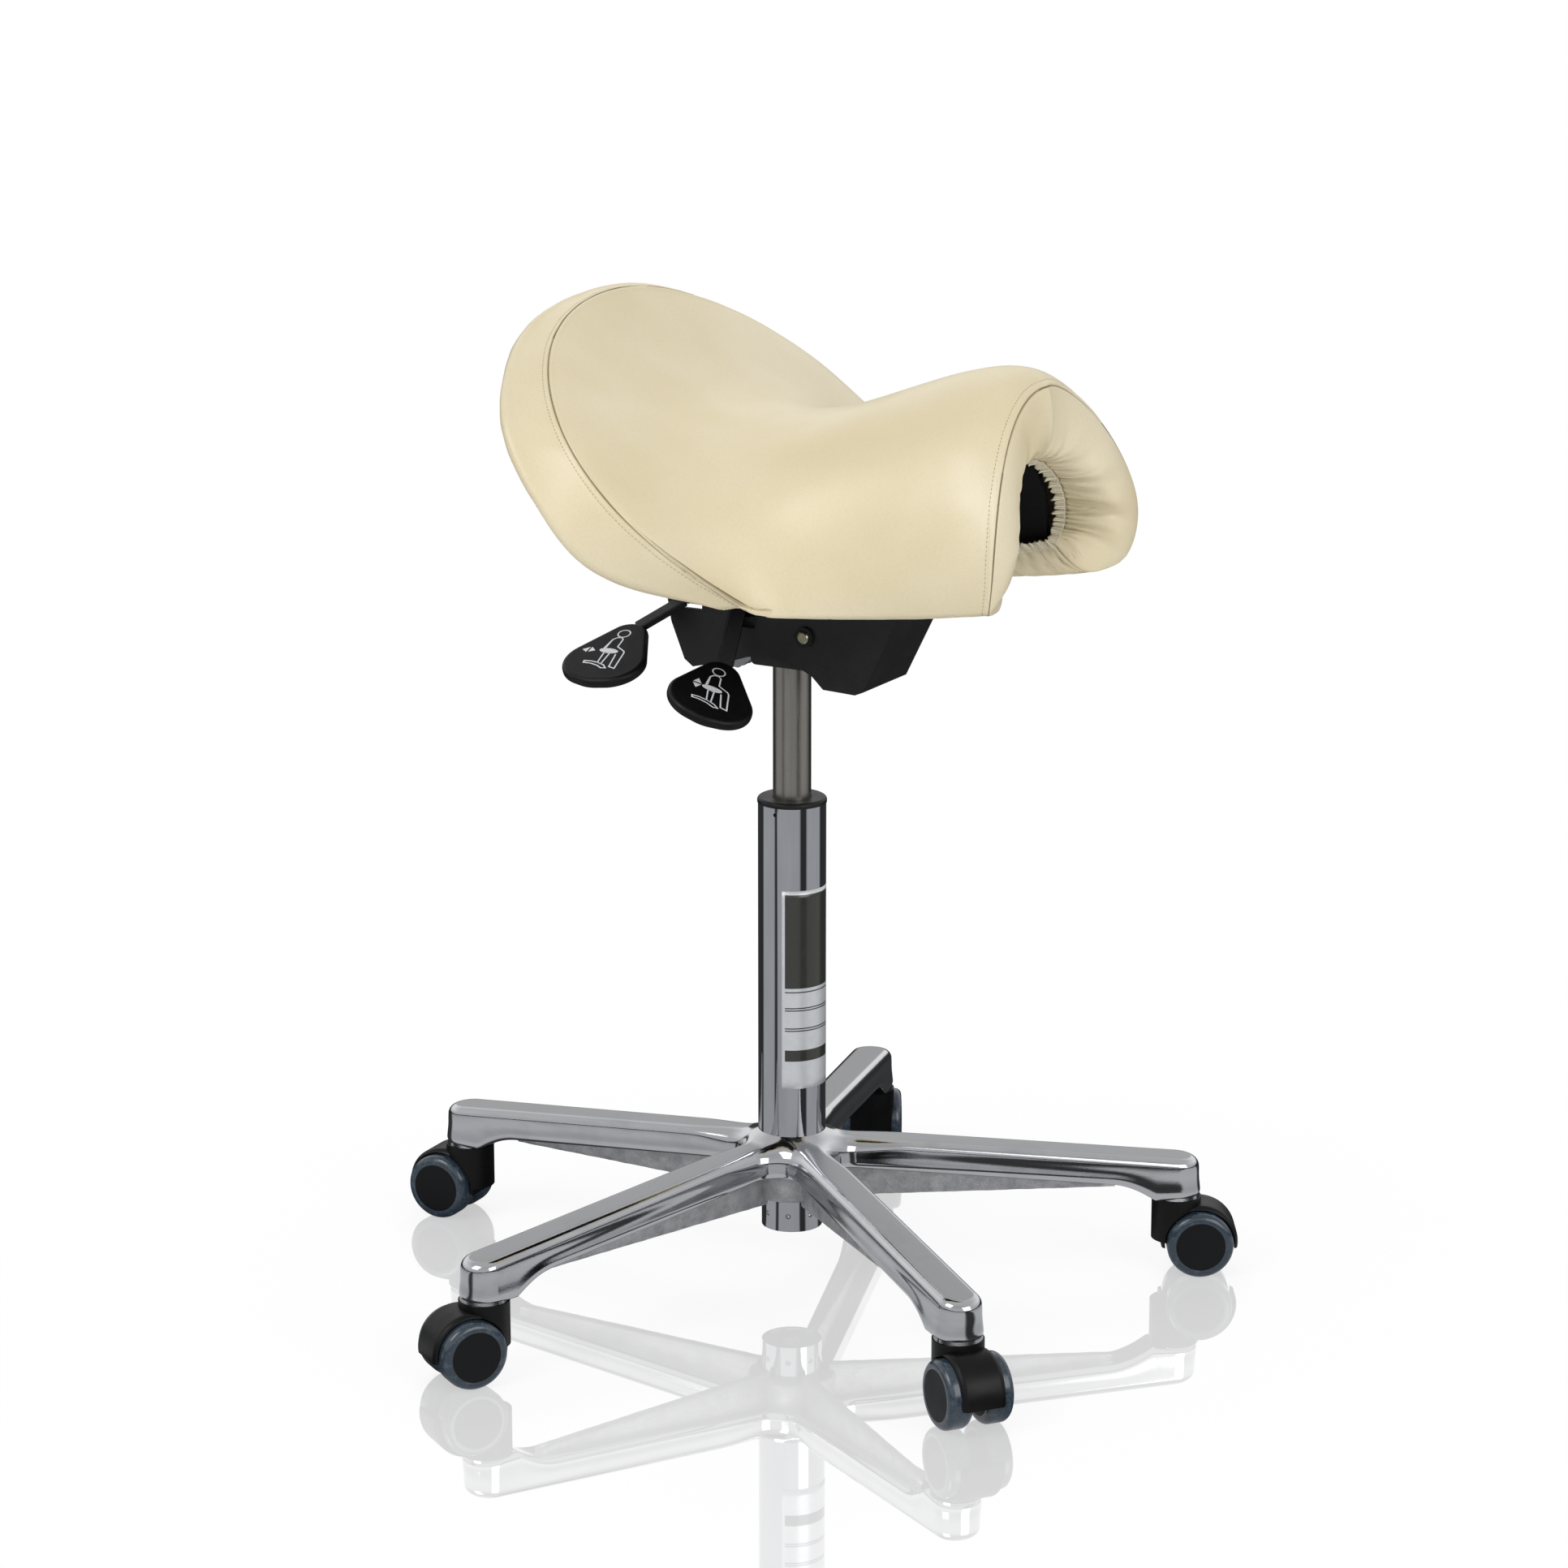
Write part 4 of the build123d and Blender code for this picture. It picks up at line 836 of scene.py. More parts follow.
@functools.lru_cache(maxsize=1)
def skin():
    """The sewn surface: rows of points and normals, and what the cover's material reads."""
    cs = columns(COLUMNS)
    rows, facts = saddle_rows(cs)
    bm = sheet_of(rows)
    bmesh.ops.recalc_face_normals(bm, faces=bm.faces)
    bm.normal_update()
    bm.verts.ensure_lookup_table()
    side = -1 if bm.verts[ON_TOP].normal.z < 0 else 1
    normals = [[bm.verts[r * COLUMNS + k].normal * side for k in range(COLUMNS)]
               for r in range(len(rows))]
    bm.free()
    points, facts_of = [], {"seam": [], "fold": [], "around": [], "away": []}
    for r, row in enumerate(rows):
        u_place = 4 * (r - REAR_ROWS + 1) / (TOP_ROWS - 1)
        line = []
        for k, point in enumerate(row):
            kind, d, far = facts[r][k]
            height, seam, fold = relief(kind, d, far, cs[k], u_place, point)
            line.append(point + normals[r][k] * height)
            if kind == "top":
                along, away = u_place, max(0.0, leg_share(cs[k])) * LEG_FIELD
            else:
                along, away = cs[k], (far - d) * CREASE_PACE[kind]
            facts_of["seam"].append(seam)
            facts_of["fold"].append(fold)
            facts_of["around"].append(along * EDGE_LENGTH[kind])
            facts_of["away"].append(away)
        points.append(line)
    return points, normals, facts_of


def thicken(piece, thickness, offset):
    """A wall of that thickness in metres: offset -1 puts it behind the surface, 0 about it."""
    wall = piece.modifiers.new("wall", "SOLIDIFY")
    wall.thickness = thickness
    wall.offset = offset


def make_cover(settings):
    """The whole upholstered skin: top panel, boxings, turned-under edges, seams and gathers."""
    points, _, facts_of = skin()
    bm = sheet_of(points)
    turn_faces(bm, ON_TOP, Vector((0, 0, 1)))
    piece = new_object("saddle_cover", bm, cream_leatherette(settings))
    for name, values in facts_of.items():
        set_floats(piece.data, name, values)
    shade_smooth(piece.data)
    thicken(piece, settings.cover_thickness, -1)
    return piece


def paced(points, normals, pitch):
    """Places a pitch apart along a line of points, each with its direction and normal."""
    places, left = [], pitch / 2
    for k in range(len(points) - 1):
        run = points[k + 1] - points[k]
        length = run.length
        while left < length:
            share = left / length
            up = normals[k].lerp(normals[k + 1], share).normalized()
            places.append((points[k] + run * share, run.normalized(), up))
            left += pitch
        left -= length
    return places


def make_stitches(settings):
    """Rows of stitches beside the rear seam and the front seam, each pulled into the foam."""
    points, normals = skin()[:2]
    pitch, half = settings.stitch_pitch / MM, settings.thread_size / MM
    reach = round(COLUMNS * WRAP * 0.35 / (1 + WRAP) / 2)
    bm = bmesh.new()
    for row in (REAR_STITCH_ROW, FRONT_STITCH_ROW):
        line, ups = points[row][reach:-reach], normals[row][reach:-reach]
        for place, run, up in paced(line, ups, pitch):
            side = up.cross(run).normalized()
            turn = Matrix((run, side, up)).transposed().to_4x4()
            size = Matrix.Diagonal((pitch * 0.37, half, half, 1.0))
            matrix = Matrix.Scale(MM, 4) @ Matrix.Translation(place) @ turn @ size
            bmesh.ops.create_icosphere(bm, subdivisions=1, radius=1.0, matrix=matrix)
    piece = new_object("topstitching", bm, sewing_thread(settings))
    shade_smooth(piece.data)
    return piece


def hem_loop():
    """Points round the cover's edge, each with the direction off the edge and the normal."""
    points, normals = skin()[:2]
    last, end = len(points) - 1, COLUMNS - 1
    places = [(last, k, last - 1, k) for k in range(end)]
    places += [(r, end, r, end - 1) for r in range(last, 0, -1)]
    places += [(0, k, 1, k) for k in range(end, 0, -1)]
    places += [(r, 0, r, 1) for r in range(last)]
    return [(points[r][k], (points[r][k] - points[i][j]).normalized(), normals[r][k])
            for r, k, i, j in places]


def resampled(loop, step):
    """The closed loop at even steps, its directions evened out over a few of them."""
    lengths = [(loop[(k + 1) % len(loop)][0] - loop[k][0]).length for k in range(len(loop))]
    total = sum(lengths)
    count = round(total / step)
    made, k, passed = [], 0, 0.0
    for n in range(count):
        at = total * n / count
        while passed + lengths[k] < at:
            passed += lengths[k]
            k += 1
        share = (at - passed) / lengths[k] if lengths[k] else 0.0
        made.append([a.lerp(b, share) for a, b in zip(loop[k], loop[(k + 1) % len(loop)])])
    for part in (1, 2):
        spread = [sum((made[(n + m) % count][part] for m in range(-4, 5)), Vector()).normalized()
                  for n in range(count)]
        for place, value in zip(made, spread):
            place[part] = value
    return made, total


def make_binding(settings):
    """The cover's overlocked edge, gathered on elastic so that it stands in small waves."""
    loop, total = resampled(hem_loop(), BINDING_STEP)
    rows = [[] for _ in range(BINDING_ROWS)]
    waves = [(round(total / length), depth, turn) for length, depth, turn in BINDING_WAVES]
    for n in range(len(loop) + 1):
        point, off, up = loop[n % len(loop)]
        around = 2 * math.pi * n / len(loop)
        drift = 2.2 * noise.noise(point / 16.0)
        wave = sum(depth * math.sin(count * around + turn + drift) for count, depth, turn in waves)
        wave *= 0.75 + 0.9 * noise.noise(point / 9.0)
        reach = BINDING_REACH + 0.7 * math.sin(waves[1][0] * around) + 0.5 * wave
        for k in range(BINDING_ROWS):
            share = k / (BINDING_ROWS - 1)
            x = -BINDING_OVERLAP + (reach + BINDING_OVERLAP) * share
            height = 0.9 + 1.35 * wave * share ** 1.2 + 2.0 * share
            rows[k].append(point + off * x + up * height)
    bm = sheet_of(rows)
    lay_uv(bm, len(rows[0]), total / len(loop), 1.1)
    bmesh.ops.remove_doubles(bm, verts=bm.verts, dist=0.00001)
    bmesh.ops.recalc_face_normals(bm, faces=bm.faces)
    piece = new_object("hem_binding", bm, elastic_binding(settings))
    shade_smooth(piece.data)
    thicken(piece, BINDING_THICKNESS * MM, 0)
    return piece


def make_lining():
    """Dust cloth drawn from the cantle's hem to the rim of the tunnel."""
    rim = [Vector(p) for p in TUNNEL_REAR]
    rows = []
    for k in range(LINING_ROWS):
        share = k / (LINING_ROWS - 1)
        row = []
        for n in range(LINING_COLUMNS):
            c = -1 + 2 * n / (LINING_COLUMNS - 1)
            hem = rear_path(c)[-1]
            p = hem.lerp(mirrored(cubic(rim, abs(c)), c), share)
            sag = LINING_SAG * math.sin(math.pi * share) ** 2 * (1 - abs(c) ** 3)
            pucker = 0.7 * math.sin(c * 61) * (1 - share)
            row.append(p + Vector((0, 0, 3.0 * (1 - share) - sag * 0.4 + pucker)))
        rows.append(row)
    bm = sheet_of(rows)
    turn_faces(bm, len(bm.verts) // 2, Vector((0, 0, -1)))
    piece = new_object("dust_cloth", bm, black_lining())
    shade_smooth(piece.data)
    thicken(piece, LINING_THICKNESS * MM, -1)
    return piece


# ------------------------------------------------------------------ star base
def arm_underside(r):
    """Height of an arm's underside at a distance from the column's axis."""
    level = HUB_HEIGHT - ARM_DEPTH - SLOPE * r
    share = min(max((r - RISE_END) / (TIP_IN - RISE_END), 0.0), 1.0) ** 2.3
    return level + (TIP_UNDERSIDE - level) * share


def arm_top(r):
    """Height of its top face, which sweeps up to the column."""
    neck = max(1 - (r - COLUMN_RADIUS) / NECK_REACH, 0.0)
    return HUB_HEIGHT - SLOPE * r + NECK_HEIGHT * neck ** 2.4


def outline_stops():
    """Half an arm's outline from its tip to the middle of the web: each place, the direction
    inward, the reach to the middle of the top face and the reach on the underside."""
    stops = []
    for k in range(12):
        turn = math.pi / 2 * k / 12
        off = Vector((math.cos(turn), math.sin(turn)))
        place = Vector((CASTOR_CIRCLE, 0)) + off * ARM_HALF
        stops.append((place, -off, ARM_HALF, ARM_HALF - SOCKET_RADIUS))
    edge = CASTOR_CIRCLE - SOCKET_RADIUS
    middle = ARM_STEP / 2
    corner = ARM_HALF / math.sin(middle) + WEB_RADIUS / math.sin(middle)
    centre = Vector((math.cos(middle), math.sin(middle))) * corner
    places = [CASTOR_CIRCLE - SOCKET_RADIUS * math.sin(math.pi / 2 * k / 5) for k in range(6)]
    places += [edge + (TIP_IN - edge) * k / 4 for k in range(1, 5)]
    places += [TIP_IN + (RISE_END - TIP_IN) * k / 12 for k in range(1, 13)]
    places += [RISE_END + (centre.x - RISE_END) * k / 40 for k in range(1, 40)]
    for x in places:
        hole = math.sqrt(max(SOCKET_RADIUS ** 2 - (CASTOR_CIRCLE - x) ** 2, 0.0))
        stops.append((Vector((x, ARM_HALF)), Vector((0, -1)), ARM_HALF, ARM_HALF - hole))
    low = math.atan2(centre.y, centre.x - COLUMN_RADIUS)
    turns = [math.pi / 2 + (low - math.pi / 2) * k / 14 for k in range(15)]
    turns += [low + (middle - low) * k / 10 for k in range(1, 11)]
    for turn in turns:
        inward = -Vector((math.cos(turn), math.sin(turn)))
        along = -centre.dot(inward)
        miss = centre.length_squared - along ** 2
        reach = centre.y / math.sin(turn)
        if turn <= low:
            reach = along - math.sqrt(COLUMN_RADIUS ** 2 - miss)
        reach -= WEB_RADIUS
        stops.append((centre + inward * WEB_RADIUS, inward, reach, reach))
    return stops


def arm_section(place, inward, reach, under):
    """Closed section: socket wall, underside, lower edge, side, shoulder and top face."""
    web = 1 - smooth(38, 84, place.length)
    shoulder = ARM_SHOULDER + (WEB_SHOULDER - ARM_SHOULDER) * web
    low, high = arm_underside(place.length), HUB_HEIGHT - SLOPE * place.length
    foot = -SIDE_SLOPE * (HUB_HEIGHT - low)
    brow = -SIDE_SLOPE * (HUB_HEIGHT - high + shoulder)
    over_socket = reach - under > 0.001 or place.x >= CASTOR_CIRCLE - SOCKET_RADIUS - 0.001
    socket = SOCKET_TOP if over_socket else low
    points = [(reach, socket), (under, socket)]
    points += [(under + (foot + ARM_ROLL - under) * k / 4, None) for k in range(4)]
    for k in range(7):
        turn = math.pi / 2 * k / 6
        points.append((foot + ARM_ROLL * (1 - math.sin(turn)),
                       low + ARM_ROLL * (1 - math.cos(turn))))
    for k in range(1, 8):
        share = k / 8
        bend = SIDE_HOLLOW * math.sin(math.pi * share) ** 2 * (1 - web)
        points.append((foot + (brow - foot) * share + bend,
                       low + ARM_ROLL + (high - shoulder - low - ARM_ROLL) * share))
    made = []
    for q, z in points:
        at = place + inward * q
        made.append(Vector((at.x, at.y, arm_underside(at.length) if z is None else z)))
    for k in range(11):
        turn = math.pi / 2 * k / 10
        at = place + inward * (brow + shoulder * (1 - math.cos(turn)))
        made.append(Vector((at.x, at.y, arm_top(at.length) - shoulder * (1 - math.sin(turn)))))
    for k in range(1, 11):
        at = place + inward * (brow + shoulder + (reach - brow - shoulder) * k / 10)
        made.append(Vector((at.x, at.y, arm_top(at.length))))
    made.append(made[0].copy())
    return made


def rib_rows():
    """Closed sections of a rib, rough as cast, from inside the hub to its end."""
    rows, steps = [], 60
    for n in range(steps + 1):
        x = RIB_START + (RIB_END - 1.5 - RIB_START) * n / steps
        upper = HUB_HEIGHT - ARM_DEPTH / 2 - SLOPE * x
        lower = min(RIB_UNDERSIDE, upper - 8)
        wide = RIB_HALF - RIB_SLOPE * (HUB_HEIGHT - upper)
        half = RIB_HALF - RIB_SLOPE * (HUB_HEIGHT - lower)
        side = [(wide + (half - wide) * k / 8, upper + (lower + 2 - upper) * k / 8)
                for k in range(9)]
        side += [(half - 0.6, lower + 0.6), (half - 2, lower)]
        row = [Vector((x, y, z)) for y, z in side]
        row += [Vector((x, -y, z)) for y, z in reversed(side)]
        rows.append(row + [row[0].copy()])
    caps = [[sum(row[:-1], Vector()) / (len(row) - 1)] * len(row) for row in (rows[0], rows[-1])]
    return [caps[0], *rows, caps[1]]


def turned_rows(outline, count):
    """A closed outline of radius and height carried once round the axis."""
    points = [Vector((r, 0, z)) for r, z in outline + outline[:1]]
    return [[Matrix.Rotation(2 * math.pi * k / count, 3, "Z") @ p for p in points]
            for k in range(count + 1)]


def cast(rows, grain=0.0):
    """A closed shell from closed sections, with the grain of the mould on it."""
    bm = sheet_of(rows)
    bmesh.ops.remove_doubles(bm, verts=bm.verts, dist=0.000002)
    bm.normal_update()
    if grain:
        for vert in bm.verts:
            rise = noise.noise(vert.co / (7 * MM)) + 0.5 * noise.noise(vert.co / (3 * MM))
            vert.co += vert.normal * rise * grain * MM
    return bm


def arm_turn(k, size=3):
    """Rotation that carries a part of the arm along +X to the k-th arm."""
    return Matrix.Rotation(FIRST_ARM + k * ARM_STEP, size, "Z")


def arms_shell():
    """The five arms and the webs between them, closed round the hub."""
    half = [arm_section(*stop) for stop in outline_stops()]
    other = [[Vector((p.x, -p.y, p.z)) for p in row] for row in reversed(half)]
    rows = [[arm_turn(k) @ p for p in row]
            for k in range(ARM_COUNT) for row in other[:-1] + half[:-1]]
    rows.append([p.copy() for p in rows[0]])
    bm = cast(rows)
    for k in range(ARM_COUNT):                   # the two halves of an arm are one solid
        back = arm_turn(k).transposed()
        inner = []
        for face in bm.faces:
            places = [back @ vert.co for vert in face.verts]
            if all(abs(v.y) < 0.000003 and v.x > 0 for v in places):
                inner.append(face)
        bmesh.ops.delete(bm, geom=inner, context="FACES_ONLY")
    return bm


def make_star_base(finishes):
    """Five arms flowing into one hub, with cast ribs, a hub block and castor sockets."""
    shells = [arms_shell()]
    (wide, narrow), low, high = BOSS_RADII, TIP_UNDERSIDE, TIP_UNDERSIDE + BOSS_HEIGHT
    boss = [(SOCKET_RADIUS, low), (wide, low), (narrow, high), (SOCKET_RADIUS, high)]
    for k in range(ARM_COUNT):
        rib = cast(rib_rows(), RIB_GRAIN)
        ring = cast(turned_rows(boss, 48))
        bmesh.ops.translate(ring, vec=Vector((CASTOR_CIRCLE * MM, 0, 0)), verts=ring.verts)
        for shell in (rib, ring):
            bmesh.ops.transform(shell, matrix=arm_turn(k, 4), verts=shell.verts)
            shells.append(shell)
    radius, low, high = HUB_BLOCK
    side = [(radius, low + (high - low) * k / 10) for k in range(1, 11)]
    hub = [(HUB_BORE, low), (radius - 2, low), (radius - 0.6, low + 0.6), *side,
           (COLUMN_RADIUS, high)]
    shells.append(cast(turned_rows(hub, 96), HUB_GRAIN))
    whole = bmesh.new()
    for shell in shells:
        bmesh.ops.recalc_face_normals(shell, faces=shell.faces)
        part = bpy.data.meshes.new("part")
        shell.to_mesh(part)
        shell.free()
        whole.from_mesh(part)
        bpy.data.meshes.remove(part)
    piece = new_object("star_base_cast", whole, cast_aluminium(finishes))
    shade_smooth(piece.data)
    piece.data.set_sharp_from_angle(angle=CREASE_ANGLE)
    return piece


# ------------------------------------------------------------------ label and signs
def make_label(settings):
    """Blank label wrapped part way round the column."""
    first, last = (math.radians(h) for h in LABEL_HEADINGS)
    turns = [first + (last - first) * n / (LABEL_COLUMNS - 1) for n in range(LABEL_COLUMNS)]
    rows = []
    for r in range(LABEL_ROWS):
        z = LABEL_BOTTOM + (LABEL_TOP - LABEL_BOTTOM) * r / (LABEL_ROWS - 1)
        rows.append([Vector((math.cos(t), math.sin(t), 0)) * (COLUMN_RADIUS + LABEL_GAP)
                     + Vector((0, 0, z)) for t in turns])
    bm = sheet_of(rows)
    lay_uv(bm, LABEL_COLUMNS, 1 / (LABEL_COLUMNS - 1), 1 / (LABEL_ROWS - 1))
    middle = turns[LABEL_COLUMNS // 2]
    turn_faces(bm, (LABEL_ROWS // 2) * LABEL_COLUMNS + LABEL_COLUMNS // 2,
               Vector((math.cos(middle), math.sin(middle), 0)))
    piece = new_object("column_label", bm, label_film(settings))
    shade_smooth(piece.data)
    thicken(piece, LABEL_THICKNESS * MM, -1)
    return piece


def ribbon(points, width, closed=False):
    """Both edges of a line of even width through flat points."""
    count = len(points)
    edges = ([], [])
    for k in range(count):
        before = points[k - 1] if k or closed else points[k]
        after = points[(k + 1) % count] if k < count - 1 or closed else points[k]
        into, out = Vector(points[k]) - Vector(before), Vector(after) - Vector(points[k])
        into, out = (into or out).normalized(), (out or into).normalized()
        mean = (into + out).normalized()
        across = Vector((-mean.y, mean.x)) * (width / 2 / max(mean.dot(into), 0.5))
        edges[0].append(Vector(points[k]) + across)
        edges[1].append(Vector(points[k]) - across)
    if closed:
        edges[0].append(edges[0][0])
        edges[1].append(edges[1][0])
    return edges


def make_sign(name, paddle, arrows, settings, ink):
    """White line sign on a paddle: a sitter on a saddle stool, with this lever's arrows."""
    centre, neck, facing = (Vector(v) for v in paddle)
    along = (neck - centre).normalized()
    across = along.cross(facing).normalized()
    normal = across.cross(along)
    face = centre + normal * (PADDLE_THICKNESS / 2 + INK_GAP)
    width = settings.line_width / MM

    def place(v):
        """A flat point of the sign on the paddle's face, in metres."""
        return (face + across * v[0] + along * v[1]) * MM

    def ring(x, y, rx, ry, count=24):
        """Points round an ellipse."""
        turns = [2 * math.pi * k / count for k in range(count)]
        return [(x + rx * math.cos(t), y + ry * math.sin(t)) for t in turns]

    bm = bmesh.new()
    x, y, radius = HEAD
    for points, closed in ((SITTER, False), (ring(x, y, radius, radius), True), (STEM_SIGN, True),
                           (FOOT_SIGN, True)):
        strip = ribbon(points, width, closed)
        runs = len(strip[0]) - 1
        made = bmesh.ops.create_grid(bm, x_segments=runs, y_segments=1, size=0.5)["verts"]
        ordered = sorted(made, key=lambda v: (round(v.co.y + 0.5), v.co.x))
        for vert, point in zip(ordered, (*strip[0], *strip[1])):
            vert.co = place(point)
    for points in (ring(*SADDLE_SIGN), *arrows):
        made = bmesh.ops.create_circle(bm, cap_ends=True, segments=len(points),
                                       radius=1.0)["verts"]
        for vert, point in zip(made, points):
            vert.co = place(point)
    bmesh.ops.remove_doubles(bm, verts=bm.verts, dist=0.000001)
    bm.normal_update()
    wrong = [f for f in bm.faces if f.normal.dot(normal) < 0]
    bmesh.ops.reverse_faces(bm, faces=wrong)
    return new_object(name, bm, ink)


# ------------------------------------------------------------------ property groups
COLOUR = {"subtype": "COLOR", "size": 3, "min": 0, "max": 1}
LENGTH = {"subtype": "DISTANCE", "unit": "LENGTH"}
TURN = {"subtype": "ANGLE", "unit": "ROTATION"}


class StoolUpholstery(bpy.types.PropertyGroup):
    """Colours and sewing of the saddle."""
    cover: FloatVectorProperty(
        name="Cover", description="Colour of the leatherette", default=hue("E0D5B8"), **COLOUR)
    cover_shade: FloatVectorProperty(
        name="Cover variation", description="Second colour of the leatherette",
        default=hue("D9CCA9"), **COLOUR)
    thread: FloatVectorProperty(
        name="Thread", description="Colour of the sewing thread", default=hue("A99B74"), **COLOUR)
    binding: FloatVectorProperty(
        name="Binding", description="Colour of the overlocked edge", default=hue("E6DFCB"),
        **COLOUR)
    cover_thickness: FloatProperty(
        name="Cover thickness", description="Leatherette and its backing", default=0.0013,
        min=0.0005, max=0.003, **LENGTH)
    stitch_pitch: FloatProperty(
        name="Stitch pitch", description="From one stitch to the next", default=0.0031,
        min=0.002, max=0.008, **LENGTH)
    thread_size: FloatProperty(
        name="Thread size", description="Half the thickness of a stitch", default=0.00036,
        min=0.0001, max=0.001, **LENGTH)


class StoolFinishes(bpy.types.PropertyGroup):
    """Colours of the metal and plastic parts."""
    aluminium: FloatVectorProperty(
        name="Aluminium", description="Colour of the star base", default=hue("CBCCCF"), **COLOUR)
    satin: FloatVectorProperty(
        name="Satin aluminium", description="Colour of the ground upper faces",
        default=hue("A2A3A6"), **COLOUR)
    chrome: FloatVectorProperty(
        name="Chrome", description="Colour of the column's plating", default=hue("B6B8BC"),
        **COLOUR)
    tread: FloatVectorProperty(
        name="Tread", description="Colour of the castors' treads", default=hue("26333F"),
        **COLOUR)
    label: FloatVectorProperty(
        name="Label", description="Colour of the blank label", default=hue("D2D4D7"), **COLOUR)
    line_width: FloatProperty(
        name="Line width", description="Printed lines on the paddles", default=0.0011,
        min=0.0005, max=0.003, **LENGTH)


class StoolStage(bpy.types.PropertyGroup):
    """Floor, lamps and camera."""
    floor: FloatVectorProperty(
        name="Floor", description="Colour of the studio floor", default=hue("F7F7F7"), **COLOUR)
    key: FloatProperty(
        name="Key lamp", description="Power of the large soft lamp", default=37.0, min=0,
        unit="POWER")
    fill: FloatProperty(
        name="Fill lamp", description="Power of the lamp from the other side", default=26.0,
        min=0, unit="POWER")
    sky: FloatProperty(
        name="Ambient", description="Strength of the room light", default=0.58, min=0)
    mirror: FloatProperty(
        name="Mirror image", description="Share of the floor's look that it mirrors",
        default=0.33, min=0, max=1)
    room: FloatProperty(
        name="Room in metal", description="Brightness of the room seen in polished metal",
        default=0.6, min=0)
    azimuth: FloatProperty(
        name="Azimuth", description="Camera's heading round the stool",
        default=math.radians(29.73), **TURN)
    elevation: FloatProperty(
        name="Elevation", description="Camera's height above the horizon",
        default=math.radians(14.74), **TURN)
    distance: FloatProperty(
        name="Distance", description="Camera to the stool", default=3.4861, **LENGTH)
    aim: FloatProperty(
        name="Aim height", description="Height that the camera looks at", default=0.3838,
        **LENGTH)


# ------------------------------------------------------------------ operators
class STOOL_OT_saddle_cover(bpy.types.Operator):
    """Sews the leatherette cover over the saddle's foam"""
    bl_idname = "stool.saddle_cover"
    bl_label = "Saddle cover"

    def execute(self, context):
        piece = make_cover(context.scene.stool_upholstery)
        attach(piece, "seat")
        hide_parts("seat_cover", "seat_foam", "cover_hem")
        return {"FINISHED"}


class STOOL_OT_topstitching(bpy.types.Operator):
    """Sews the rows of stitches beside the two seams"""
    bl_idname = "stool.topstitching"
    bl_label = "Topstitching"

    def execute(self, context):
        piece = make_stitches(context.scene.stool_upholstery)
        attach(piece, "seat")
        return {"FINISHED"}


class STOOL_OT_hem_binding(bpy.types.Operator):
    """Edges the cover with gathered elastic"""
    bl_idname = "stool.hem_binding"
    bl_label = "Hem binding"

    def execute(self, context):
        piece = make_binding(context.scene.stool_upholstery)
        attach(piece, "seat")
        return {"FINISHED"}


class STOOL_OT_dust_cloth(bpy.types.Operator):
    """Closes the underside of the cantle with dust cloth"""
    bl_idname = "stool.dust_cloth"
    bl_label = "Dust cloth"

    def execute(self, context):
        piece = make_lining()
        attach(piece, "seat")
        return {"FINISHED"}


class STOOL_OT_column_label(bpy.types.Operator):
    """Puts the blank label on the column"""
    bl_idname = "stool.column_label"
    bl_label = "Column label"

    def execute(self, context):
        piece = make_label(context.scene.stool_finishes)
        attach(piece, "base")
        return {"FINISHED"}


class STOOL_OT_paddle_signs(bpy.types.Operator):
    """Prints the signs on the two paddles"""
    bl_idname = "stool.paddle_signs"
    bl_label = "Paddle signs"

    def execute(self, context):
        settings = context.scene.stool_finishes
        ink = printed_ink("Pad_printed_ink", "E4E6EC")
        for name, paddle, arrows, body in (
                ("height_sign", HEIGHT_PADDLE, UP_AND_DOWN, "height_lever"),
                ("tilt_sign", TILT_PADDLE, ROCKING, "tilt_lever")):
            piece = make_sign(name, paddle, arrows, settings, ink)
            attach(piece, body)
        return {"FINISHED"}


class STOOL_OT_star_base(bpy.types.Operator):
    """Makes the cast star base"""
    bl_idname = "stool.star_base"
    bl_label = "Star base"

    def execute(self, context):
        piece = make_star_base(context.scene.stool_finishes)
        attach(piece, "base")
        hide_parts("star_base")
        return {"FINISHED"}


class STOOL_OT_frame_finish(bpy.types.Operator):
    """Gives the metal, plastic and timber parts their finishes"""
    bl_idname = "stool.frame_finish"
    bl_label = "Metal and plastic"

    def execute(self, context):
        finishes = context.scene.stool_finishes
        give(chrome_plate(finishes), "column_tube")
        give(drawn_cylinder(), "gas_cylinder")
        give(black_powder_coat(), "tilt_housing", "tilt_core")
        give(moulded_plastic("Dipped_lever_bar", "050506", 0.4, 0.5), "height_lever_bar",
             "tilt_lever_bar")
        give(zinc_plate(), "pivot_bolt", "clamp_bolt", "seat_screws")
        give(turned_steel(), "column_end_plate", "thrust_bearing", "piston_rod",
             "retaining_clip", "lock_plates", "height_lever_pin", "tilt_lever_pin", "release_pin")
        give(black_rubber(), "bump_stop")
        give(stained_plywood(), "seat_board")
        give(moulded_plastic("Nylon_bush", "161616", 0.36, 0.46), "guide_bush", "pivot_bushes")
        give(moulded_plastic("Moulded_seat_shell", "0C0C0D", 0.5, 0.62), "seat_shell")
        give(moulded_plastic("Soft_touch_paddle", "0B0B0C", 0.38, 0.5), "height_lever_paddle",
             "tilt_lever_paddle")
        return {"FINISHED"}


